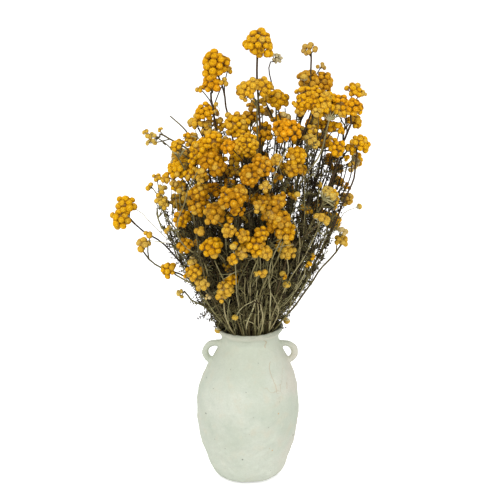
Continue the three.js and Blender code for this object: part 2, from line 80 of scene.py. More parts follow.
# Each spray is one or several heads on one branch. A head is (x, z, depth, radius).
SPRAYS = [
    ("crown", "gold", (10.5, 431, 12, 13.2)),
    ("tall_left", "gold", (-34, 393, 10, 12), (-30.5, 411, 6, 13.4)),
    ("right_back", "ochre", (57, 397, -24, 10.5), (71, 394, -28, 10.5), (57.5, 425, -20, 8),
        (69, 410, -24, 4.8)),
    ("right_crown", "gold", (69, 373, 18, 11.6), (56, 381, 16, 11.4)),
    ("far_right", "gold", (99.5, 371, 4, 9.8), (88, 375, 4, 9), (101, 387, -10, 8.6),
        (102.5, 357, -12, 7.4)),
    ("upper_middle", "gold", (-0.5, 387, 26, 10.4), (16, 391, 25, 8.6)),
    ("middle_right", "gold", (35.5, 363, 14, 5.4), (28.5, 379, 6, 10.2), (27, 417, -8, 5.8),
        (16, 377, 4, 5.4)),
    ("upper_left", "gold", (-49.5, 356, 10, 6.6), (-40.5, 366.5, 12, 9)),
    ("middle", "gold", (-10.5, 354, 26, 11.8)),
    ("right_dome", "gold", (38, 349.5, 40, 13.2)),
    ("middle_back", "ochre", (3, 361, -4, 8), (4, 372, -4, 6), (19.5, 366, -8, 6)),
    ("middle_low", "ochre", (16.5, 344, 18, 8)),
    ("left_reach", "straw", (-89, 341, 10, 6.6), (-96, 346, 12, 5)),
    ("left_high", "gold", (-66.5, 333.5, 16, 8.8), (-53.5, 338, 14, 6.4)),
    ("left_cloud", "gold", (-28.5, 312, 52, 8.4), (-36, 321, 48, 10.8), (-45.5, 331, 44, 9.6),
        (-33, 338, 42, 10.4)),
    ("middle_front", "gold", (-1, 335.5, 52, 11.2), (-18, 333, 54, 7)),
    ("right_side", "straw", (60, 338, 26, 9), (61, 350, 22, 5.4)),
    ("right_cluster", "gold", (84.5, 332, 18, 8.8), (73, 335, 10, 6.2), (72.5, 352, 6, 7.6),
        (86, 351, 8, 7.2)),
    ("right_rim", "gold", (96, 331, 2, 5), (107.5, 336, 4, 10.4), (104, 320.5, -12, 7.8)),
    ("right_low", "gold", (43.5, 312.5, 50, 8.6), (47, 325, 52, 9), (28, 320, 54, 6.4), (28.5, 303, 48, 5)),
    ("centre", "gold", (2.5, 304.5, 66, 10.4), (14, 314.5, 66, 10.2), (17, 294.5, 66, 5.8)),
    ("left_shoulder", "gold", (-65, 311.5, 12, 11), (-78, 303, 10, 6), (-70.5, 297, 16, 5)),
    ("left_inner", "gold", (-53.5, 306.5, 28, 7.2), (-44, 305.5, 28, 7.4), (-50.5, 319, 24, 7)),
    ("left_far", "straw", (-82, 279.5, 14, 7.8), (-82, 293, 6, 4.4), (-94, 294, 2, 4.2),
        (-86.5, 303, -2, 5.4)),
    ("left_arm", "gold", (-117.5, 276.5, 4, 10.6), (-122.5, 262.5, 6, 9.8)),
    ("left_twig", "gold", (-101.5, 237.5, 16, 7.2), (-96, 247, 16, 4.8)),
    ("left_lower", "gold", (-77, 212, 26, 8)),
    ("left_lowest", "straw", (-65.5, 188, 18, 4.8)),
    ("left_front", "gold", (-48, 274.5, 46, 9.4), (-46, 288, 46, 9.6)),
    ("left_drop", "gold", (-31.5, 267.5, 60, 10.6)),
    ("centre_left", "gold", (-16, 281.5, 72, 12.6), (-6.5, 291, 71, 6), (-9, 271.5, 73, 7),
        (9.5, 274, 76, 5.4)),
    ("left_edge", "gold", (-63, 262.5, 34, 8.8), (-76, 252, 28, 5)),
    ("left_mid", "ochre", (-59.5, 236, 40, 7.8)),
    ("left_inner_low", "gold", (-34.5, 235, 62, 9.8), (-46.5, 250.5, 54, 5.4)),
    ("left_skirt", "gold", (-44.5, 197.5, 46, 7.6), (-52, 209.5, 46, 8), (-53.5, 221, 42, 4.2)),
    ("front_low", "gold", (-25, 185.5, 46, 6), (-21, 193.5, 48, 8.4), (-15, 201.5, 48, 6)),
    ("front_left", "gold", (-18, 250.5, 76, 6.8), (-4.5, 245.5, 77, 6.8), (-17, 262, 74, 3.8)),
    ("front_middle", "gold", (8, 235.5, 72, 9.2), (13.5, 247.5, 70, 7), (-5, 228.5, 72, 6.4),
        (17, 228.5, 70, 7.2), (-14, 222.5, 78, 5.4), (14.5, 207.5, 62, 4.8)),
    ("front_right", "gold", (36.5, 249, 58, 9.6), (31, 261, 62, 11), (22, 268, 64, 7), (29, 279, 60, 7.8)),
    ("right_inner_low", "gold", (38.5, 231.5, 44, 8.8)),
    ("right_lean", "straw", (77.5, 287, 26, 9.6)),
    ("right_front", "gold", (71.5, 261.5, 44, 8)),
    ("right_edge", "gold", (91, 240.5, 10, 6.8), (91.5, 250, 10, 6.4)),
    ("right_tail", "ochre", (94.5, 282.5, -14, 7.2), (87.5, 299, -12, 6), (85.5, 311, -10, 6.6),
        (78.5, 320, -10, 7)),
]

# Heads that are here only, on the sprays that carry them
EXTRA_HEADS = {
    "far_right": [(84.6, 371.2, -2, 10), (77.1, 365.5, 2, 7.5), (94, 322.2, 0, 3.8), (92.3, 367.4, 8, 6.2),
        (102.7, 368.4, 6, 5.7), (80.7, 378.9, 6, 5.7), (109.5, 384.1, -8, 3.4), (95.3, 358.9, -6, 3.3),
        (84.7, 368.4, 10, 5.8), (89.5, 364.6, 8, 4.4)],
    "right_rim": [(99.8, 313.9, -6, 5), (98.6, 330.9, 2, 5.7)],
    "right_cluster": [(79.2, 353.1, 8, 5.7)],
    "right_low": [(49.1, 317.3, 46, 4.8), (53, 308.6, 40, 4.3)],
    "left_reach": [(-83.2, 349.8, 12, 3), (-94.9, 337.2, 12, 3)],
    "left_far": [(-84.2, 285.6, 16, 5), (-79.5, 275.7, 18, 4.4)],
    "upper_middle": [(-4.3, 385.5, 24, 6.1), (6, 393.1, 28, 6.6), (17.4, 387.4, 24, 4.7)],
    "middle_right": [(27.8, 374.1, 10, 5.7), (17.4, 379.8, 8, 3.3)],
    "left_high": [(-57.6, 344, 16, 3.6)],
    "tall_left": [(-45.5, 387.8, 8, 4.3), (-17.5, 406.5, 4, 3.9), (-22.5, 395.2, 12, 4.8)],
    "upper_left": [(-31.4, 367, 4, 5.2), (-40.9, 354.1, 10, 5.2), (-32.4, 356, 4, 4.7),
        (-26.2, 351.2, 6, 4.4), (-37.6, 348.8, 12, 4.8), (-27.1, 357.9, 6, 4.3), (-21.9, 353.1, 8, 3.8),
        (-30, 348.4, 8, 3.8), (-37.6, 356, 10, 3.6), (-42.4, 348.4, 10, 3.4)],
    "left_shoulder": [(-70.8, 319.8, 4, 3.4), (-74.2, 313.5, 6, 3.8), (-62.9, 295, 12, 4.8),
        (-58.2, 285.1, 18, 5.8), (-70.6, 295, 16, 3.5)],
    "left_cloud": [(-24.9, 330.9, 30, 5.7), (-24.4, 320.7, 30, 5.3), (-29.1, 345.4, 30, 3.8),
        (-42.7, 309.1, 56, 4.8)],
    "left_front": [(-32.7, 291, 26, 8.6), (-45.6, 299.4, 52, 3.8)],
    "centre_left": [(-17.8, 298.4, 40, 5.3), (-1.5, 283.1, 60, 3.8)],
    "middle_front": [(-19.1, 339.1, 26, 4.8), (-9.6, 325.6, 30, 5.2)],
    "middle_back": [(8.9, 349.8, 4, 4.4)],
    "right_crown": [(46.7, 374.1, 24, 4.9), (48.7, 367, 26, 4.7), (64.8, 366.5, 30, 4.9),
        (76.9, 380.8, 10, 5.7), (64.6, 384.6, 12, 7.1), (73.2, 379.8, 16, 6.6), (52.4, 375, 26, 5.7),
        (61.9, 376, 26, 6.6), (51.5, 369.3, 26, 5.2), (56.2, 374.1, 28, 5.4)],
    "right_side": [(47.5, 338.7, 10, 5.2), (55, 349.3, 12, 4.4)],
    "right_tail": [(95.4, 294.5, -10, 4.2), (97.5, 284.1, -8, 3.8)],
    "right_lean": [(68.5, 295.9, 18, 3.8), (81.5, 288, 28, 5.8), (84.5, 279.6, 24, 4.8),
        (83.7, 274.2, 20, 3.5)],
    "front_right": [(34.5, 285.6, 60, 3.7), (17.3, 264.3, 62, 4.2), (21.6, 253.5, 60, 5.3)],
    "right_inner_low": [(30.4, 238, 46, 4.3)],
    "front_middle": [(-13.2, 235.5, 74, 4.1)],
    "right_front": [(63.5, 224.9, 36, 3.3), (59.2, 217.4, 38, 3.5)],
    "left_mid": [(-50, 238.5, 40, 3.7)],
    "left_skirt": [(-39.2, 184.1, 44, 2.9), (-59.5, 206.4, 38, 3.5)],
    "front_low": [(36.4, 204.4, 52, 2.7)],
}

# The sprays behind the axis: height and distance from the axis, evenly between two turns.
BACK_SEED = 101
BACK_FROM, BACK_TO = math.radians(28), math.radians(160)
BACK_SPRAYS = [
    (256, 72), (332, 74), (216, 60), (342, 58), (290, 82), (328, 28), (236, 74), (318, 64), (274, 61),
]
BACK_HEADS = 4
BACK_SPREAD = 17
BACK_WIDENING = 1.15
BACK_FIRST_RADIUS, BACK_RADIUS, BACK_GROWTH = 8.5, 6.5, 3

# How a head leans outwards, holds to the one that carries it, and how near that one it needs no stalk
SEAT_REACH = 0.8
OUTWARD_LEAN = 0.45
HOLD_REACH = 0.3
STALK_FROM = 2.4

# The branches pass the neck at the gate, sector by sector, and keep clear of the heads on their way.
SECTORS = 6
SECTOR_NAMES = ["front", "front_right", "back_right", "back", "back_left", "front_left"]
GATE_HEIGHT = 146
GATE_NEAR, GATE_FAR = 9, 19.2
GATE_SLOPE = 2
GATE_TURN = math.radians(19)
BRANCH_SPACING = 30
APPROACH_LENGTH = 11
BRANCH_CLEAR = 1.9
PUSH_PASSES, SIDE_PUSH_PASSES = 60, 20
PUSH_MARGIN, PUSH_SHARE = 4, 0.6

# What is finer here than in the solids

# Where the random draws of each kind of piece begin, and Blender's noise, which would otherwise give other
# stems in each run
NOISE_SEED = 9
HEAD_SEED, STALK_SEED, TWIG_SEED = 1000, 2000, 3000

# The vase's mesh and the groove in its neck
VASE_STEPS, VASE_CELL = 120, 1.35
GROOVE_OUTSIDE, GROOVE_DEPTH, GROOVE_WIDTH = 26.5, 0.7, 1.1

# Flower buttons
BUTTON_BASE, BUTTON_GROWTH = 2.15, 0.09
BUTTON_SIZES = {
    "crown": 3.7, "tall_left": 3.7, "left_arm": 3.6, "left_twig": 3.4, "right_front": 3.4, "left_drop": 3.4,
    "left_inner_low": 3.4, "middle_front": 2.6, "centre": 2.8, "upper_middle": 2.9, "middle_right": 3.3,
    "left_reach": 2.6, "right_lean": 2.5,
}
SMALL_BUTTONS = {"middle_right": {2: 1.7}, "right_back": {2: 2.9, 3: 2.3}}
BUTTON_SINK = 0.75
BUTTON_SPACING = 1.78
BUTTON_UNLIKENESS = 0.34
BUTTON_STRAYING = 0.2
LUMPINESS = 0.4
SETTLE_PASSES, SETTLE_SHARE = 12, 0.4
CORE_SHARE = 0.78

# A head's form: how far its dome reaches round from the top, how flat it is, how far below its middle its
# stalks part, in radii, and how full it is of buttons.
FORMS = {
    "dome": (math.radians(112), 0.86, 0.8, 1.08),
    "ball": (math.radians(132), 0.95, 0.95, 1.08),
    "fan": (math.radians(90), 0.64, 1.0, 1.08),
    "loose": (math.radians(104), 0.8, 0.9, 0.8),
}
# The heads that aren't domes, by spray
FORMED_HEADS = {
    "ball": {"crown": [0], "left_arm": [0, 1], "tall_left": [0, 1]},
    "fan": {"left_edge": [1], "left_far": [0, 4, 5], "left_high": [0], "right_cluster": [3],
        "right_edge": [1], "right_front": [0], "right_lean": [0, 3], "right_rim": [2], "right_side": [0]},
    "loose": {"centre_left": [0, 2], "left_far": [2], "left_reach": [0, 1, 2, 3], "middle_right": [2],
        "right_back": [2, 3]},
}
# How much larger or smaller some heads are than their solids, by spray and head
GROWN = {
    "back_4": {0: 0.62, 2: 0.75}, "back_8": {0: 0.85, 2: 0.8}, "back_9": {0: 0.9, 1: 0.82},
    "crown": {0: 1.02}, "left_arm": {0: 0.96}, "middle_low": {0: 0.85}, "right_back": {2: 1.05},
    "right_crown": {1: 0.94}, "right_dome": {0: 0.95}, "right_rim": {1: 0.93},
    "tall_left": {0: 0.8, 1: 1.06}, "upper_middle": {0: 0.93},
}

# The heads lean this far towards the viewer, those just behind the axis more, and those of the far side not
# at all.
FRONT_LEAN = 0.42
FRONT_LEAN_EASE, FRONT_LEAN_MOST = 14, 2.6
FRONT_FROM = 32

# How strongly the stem that is seen under a head turns it
WAY_PULL = 2

# How far a head has faded to straw, up to 1, or ripened to orange, down to -1, by spray and head.
FADED = {
    "centre": {0: -0.6, 1: -1, 2: 0.4}, "centre_left": {0: -0.4}, "crown": {0: 0.03},
    "far_right": {0: -0.4, 1: -0.4, 2: 0.06, 3: 0.15, 4: 0.02, 5: 0.3, 10: 0.45, 12: 0.25, 13: 0.5},
    "front_left": {0: 0.3, 1: 0.15}, "front_low": {1: 0.3}, "front_middle": {0: 0.1, 3: 0.3},
    "front_right": {1: 0.15, 2: 0.2, 3: 0.2}, "left_arm": {0: 0.05, 1: 0.14},
    "left_cloud": {1: -0.4, 2: -0.1, 3: -0.2, 6: 0.6}, "left_drop": {0: 0.15}, "left_edge": {1: 0.35},
    "left_far": {0: 0.3, 1: 0.5, 4: 0.12, 5: 0.25}, "left_front": {0: 0.1, 1: 0.05, 2: -0.8},
    "left_high": {0: 0.1}, "left_inner": {1: 0.2}, "left_lower": {0: 0.15}, "left_lowest": {0: 0.45},
    "left_reach": {0: 0.45, 2: 0.2, 3: 0.5},
    "left_shoulder": {0: 0.03, 1: 0.25, 2: 0.6, 3: 0.7, 6: 0.45, 8: 0.75},
    "left_skirt": {0: 0.45, 1: 0.12, 2: 0.55, 3: 0.7}, "left_twig": {0: 0.4}, "middle": {0: 0.15},
    "middle_back": {1: 0.3, 2: 0.65}, "middle_front": {0: 0.1, 1: -0.8, 2: 0.45}, "middle_low": {0: -0.1},
    "middle_right": {0: 0.6, 1: 0.1, 2: 1, 3: 0.25, 5: 0.4},
    "right_back": {0: 0.2, 1: 0.12, 2: 0.5, 3: 0.55}, "right_cluster": {0: -0.25, 2: 0.02, 3: -0.2},
    "right_crown": {0: 0.1, 1: 0.02, 4: 0.45, 6: 0.05}, "right_dome": {0: -0.7},
    "right_edge": {0: 0.45, 1: 0.6}, "right_front": {0: 0.4}, "right_inner_low": {0: 0.35},
    "right_lean": {0: 0.5}, "right_low": {0: 0.15, 1: 0.02, 2: 0.35},
    "right_rim": {1: 0.05, 2: 0.15, 3: 0.5}, "right_side": {0: 0.3}, "right_tail": {0: 0.35, 5: 0.4},
    "tall_left": {0: -0.4, 1: -0.2, 2: 0.25, 3: 0.3},
    "upper_left": {0: 0.3, 2: 0.15, 3: 0.3, 7: 0.35, 8: 0.2, 9: 0.7, 10: 0.5, 11: 0.5},
    "upper_middle": {0: 0.2, 2: 0.15, 3: 0.15},
}
FADING_UNLIKENESS = 0.24

# How far painted shade darkens the sides of a head's buttons, or painted light brightens them, and between
# which distances in front of the axis and which heights that comes and goes
PAINTED_SHADE_MOST, PAINTED_LIGHT_MOST = 0.55, 0.3
PAINTED_SHADE_AT_FOOT = 0.45
PAINTED_SHADE_FORWARD, PAINTED_SHADE_FROM, PAINTED_SHADE_TO = (26, 50), (250, 285), (322, 350)
PAINTED_LIGHT_BEHIND, PAINTED_LIGHT_BELOW = (5, 32), (375, 400)

# Stems: their radii at the foot and the top, and how many sides they have
STEMS = {
    "stout": (1.2, 1.05, 6), "shown": (1.2, 0.86, 6), "branch": (1.2, 0.72, 6), "dark_side": (1.0, 0.88, 5),
    "side": (0.8, 0.58, 5), "twig": (0.66, 0.55, 5), "filler": (0.75, 0.35, 4), "pale": (0.62, 0.42, 4),
    "tendril": (0.42, 0.28, 3), "leafy": (0.8, 0.45, 4), "fringe": (0.7, 0.4, 4), "fan": (0.5, 0.85, 5),
    "button": (0.5, 0.55, 4),
}
STEM_FOOT_SHARE = 0.72
STEM_FOOT_HEIGHT = FLOOR_HEIGHT + 1
STEM_SPACING, TWIG_SPACING, LOOSE_SPACING, LEAFY_SPACING, FRINGE_SPACING = 7, 5, 6, 3.5, 2
DARK_STEMS = {"crown", "far_right", "left_arm", "right_back", "right_cluster", "right_crown", "right_rim",
    "right_tail", "tall_left", "upper_left"}
STOUT_STEMS = {"crown", "tall_left"}
HIGH_HEADS = 330
TWIG_REACH = 27

# Where a further head's stem leaves its branch: how long it is, or how steeply it has to rise
SIDE_LENGTH, SIDE_PER_GAP, SIDE_LENGTHENING = 26, 1.3, 30
SIDE_JOINT_LEAST = 0.45
SIDE_BOW, SIDE_PALING = 3, 0.2
TWIG_LENGTH, TWIG_PER_GAP = 5, 0.8
TWIG_SAG = 0.13
JOINT_SLOPE, JOINT_DROP = 1.7, 8

# How far stems wander, over which length, and how soon from their ends and above the neck
SWAY_OF_WAYS, SWAY_OF_BRANCHES, SWAY_OF_SIDES = 0.7, 1.6, 1.2
SWAY_OF_TWIGS, SWAY_OF_FILLERS, SWAY_OF_PALE, SWAY_OF_LOOSE = 0.6, 6, 5, 0.9
SWAY_LENGTH = 22
SWAY_ONSET = 2.5
SWAY_HEIGHTS = GATE_HEIGHT - 4, GATE_HEIGHT + 24
NOISE_FIELD = 500

# Thin leafy stems between the branches. The bouquet's leafy part widens with height.
LEAFY_REACH = [
    (150, 24), (160, 33), (171, 41), (191, 52), (211, 64), (231, 75), (245, 82), (291, 88), (335, 87),
]
LEAFY_DEPTH = 0.8
LEAFY_LEVELS = 172, 190, 211, 236, 270, 310
# Leaves and leafy stems within this share of the leafy reach get painted shade, darker further in
PAINTED_SHADE_WITHIN = 0.8
FILLERS = 56
FILLER_LOW, FILLER_RISE = 172, 178
FILLER_INMOST, FILLER_REACH = 0.22, 0.76
FILLER_THROAT = 156
FILLER_CLEAR = 1.5
INNER_HEADS = 0.34
INNER_RADIUS = 4.5, 7.5
INNER_LOW, INNER_HIGH = 215, 330
INNER_REACH = 0.66

# Long pale stalks over the outside of the leafy part
PALE_STALKS = 15
PALE_TOP = 196, 262
PALE_DRIFT = 157, 262
PALE_CLEAR = 0.8

# Leaves, and curly threads
SPRIG_LOW, SPRIG_FULL, SPRIG_HIGH = 156, 292, 368
SPRIG_SPACING = 3.9
SPRIG_LENGTH = 7, 14
SPRIG_CLEAR = 0.5
LEAF_TONE, LEAF_PALING = 0.14, 0.6
TENDRILS = 0.85
TENDRIL_TOP = 250
TENDRIL_STEP = 4

# Leaves over the rim
COLLAR_SPRIGS = 400
COLLAR_LENGTH = 8, 16
COLLAR_TURN = math.radians(192)
COLLAR_LEAST = 0.24
COLLAR_LOWEST, COLLAR_REACH = 156.5, 31

# How bare the stems stand in the mouth, and how far in, mostly at the front right
BARENESS, BARE_TURN, BARE_UP_TO = 0.8, math.radians(-68), 172
DRAWN_BACK, DRAWN_BACK_TURN, DRAWN_BACK_HEIGHTS = 0.42, math.radians(-62), (158, 200)

# Stems that show in front of the bouquet, by spray and head, from the head down.
STEM_WAYS = {
    ("crown", 0): [(8.8, 406.4, 12), (10.1, 377.9, 14), (11.3, 360.8, 16), (11.8, 344.5, 18),
        (10.9, 328, 20), (7.1, 305.7, 22)],
    ("tall_left", 0): [(-34.6, 384.6, 10), (-32.8, 370.3, 12), (-30.9, 357, 14), (-28.6, 344.5, 16),
        (-25.4, 328, 18), (-20.7, 305.7, 20)],
    ("tall_left", 1): [(-24.1, 392.2, 6), (-21.4, 380.8, 8), (-20.8, 372.2, 9), (-18.6, 362.7, 11),
        (-15.8, 349.3, 12), (-13, 329.9, 14)],
    ("upper_middle", 0): [(7.9, 377.9, 24), (8.9, 363.6, 26), (9.4, 349.3, 28), (9, 329.9, 30)],
    ("middle_right", 1): [(26.9, 370.3, 6), (27.2, 358.9, 8), (26.3, 344.5, 11), (25.6, 329.9, 14),
        (23.3, 310.6, 16)],
    ("middle_right", 2): [(21.7, 413.9, -8), (20.1, 408.2, -6), (20.5, 402.6, -5), (22.1, 395, -3),
        (24.4, 387.4, -2), (26.9, 377.9, 0)],
    ("right_back", 2): [(59.5, 421.4, -18), (59.6, 406.4, -17), (58.7, 393.1, -15), (58.1, 377.9, -14)],
    ("far_right", 1): [(79.1, 361.7, 18), (75.4, 354.1, 20), (69.9, 340.6, 22), (66.2, 329.9, 24),
        (60.7, 310.6, 26)],
    ("right_crown", 0): [(61, 366.5, 16), (61.7, 359.8, 19), (56.4, 349.7, 22), (52.2, 339.2, 24),
        (49.3, 328, 27), (45.3, 310.6, 30)],
    ("right_crown", 1): [(51.6, 363.6, 16), (49.3, 352, 20), (47.5, 338, 24), (45, 320, 28)],
    ("far_right", 0): [(98.2, 355, 4), (94.5, 345.4, 6), (90.9, 335.8, 7), (87.2, 324.1, 9),
        (82.7, 308.6, 10), (76.2, 291, 12)],
    ("right_cluster", 0): [(71, 329, 16), (72.1, 315.4, 18), (70.2, 308.6, 20), (64.6, 297.9, 22),
        (59, 281.1, 24)],
    ("right_rim", 1): [(104.4, 327, 6), (103.1, 315.4, 7), (101.9, 302.8, 8), (97.3, 291, 9),
        (91.8, 278.2, 10), (87.2, 265.3, 12), (80.6, 249.5, 13), (72.2, 231.5, 14), (61.7, 211.4, 15),
        (49.3, 187.1, 16)],
    ("left_reach", 0): [(-83.3, 345.4, 10), (-73.9, 340.6, 12), (-65.3, 336.2, 15), (-54.9, 329, 17),
        (-46.4, 318.3, 20), (-39.9, 300.9, 22)],
    ("left_far", 0): [(-87.2, 273.2, 14), (-86.4, 263.3, 15), (-83.6, 255.4, 17), (-78, 247.5, 18),
        (-70.3, 237.5, 20), (-61.7, 225.5, 21), (-52.2, 211.4, 23), (-40.6, 191.2, 24)],
    ("left_arm", 0): [(-114.4, 264.3, 4), (-108.7, 257.4, 6), (-101.1, 250.5, 8), (-94.4, 246.5, 10),
        (-86.7, 242, 12), (-80, 236.5, 14), (-75.3, 231.5, 16), (-69.5, 224.4, 18), (-63.8, 217.4, 20),
        (-56.1, 210.4, 22), (-46.4, 197.3, 24), (-35.8, 178, 26)],
    ("left_twig", 0): [(-101.5, 230.5, 16), (-95.8, 222.4, 17), (-90, 217.4, 18), (-83.3, 213.4, 20),
        (-74.6, 210.4, 21), (-65.8, 207.4, 22), (-57.1, 202.4, 24), (-48.4, 193.3, 25), (-37.8, 176.9, 26)],
    ("left_arm", 1): [(-117.4, 260.4, 5), (-113.9, 262.4, 5)],
    ("left_reach", 1): [(-91, 343.8, 11)],
    ("left_twig", 1): [(-94.5, 241, 16), (-96.5, 236.5, 16)],
    ("left_far", 1): [(-81.5, 271.2, 12), (-76.8, 262.4, 14), (-70.2, 253.5, 16), (-64.5, 243.5, 18),
        (-58.8, 233.5, 20)],
    ("left_lower", 0): [(-69.7, 206.4, 26), (-63, 202.4, 26), (-55.2, 198.4, 27), (-46.5, 189.2, 28),
        (-36.8, 174.9, 28)],
    ("left_lowest", 0): [(-62.1, 190.2, 18), (-58.7, 186.1, 18), (-55.4, 181, 19), (-49.5, 178, 19),
        (-42.7, 174.9, 20), (-35.9, 168.8, 20)],
    ("right_edge", 0): [(91.4, 238.5, 10), (85.8, 229.5, 11), (80, 222.4, 12), (73.3, 215.4, 13),
        (68.5, 209.4, 13), (63.8, 201.4, 14), (57, 191.2, 15), (48.4, 178, 16)],
    ("right_lean", 0): [(74.4, 284.1, 26), (70.7, 274.2, 28), (66.9, 268.3, 30), (61.2, 257.4, 32),
        (53.6, 241.5, 34), (46, 224.4, 36)],
    ("right_front", 0): [(69.9, 258.4, 44), (61.3, 250.5, 44), (52.7, 243.5, 45), (45, 234.5, 45),
        (38.3, 222.4, 46), (34.5, 209.4, 46)],
}

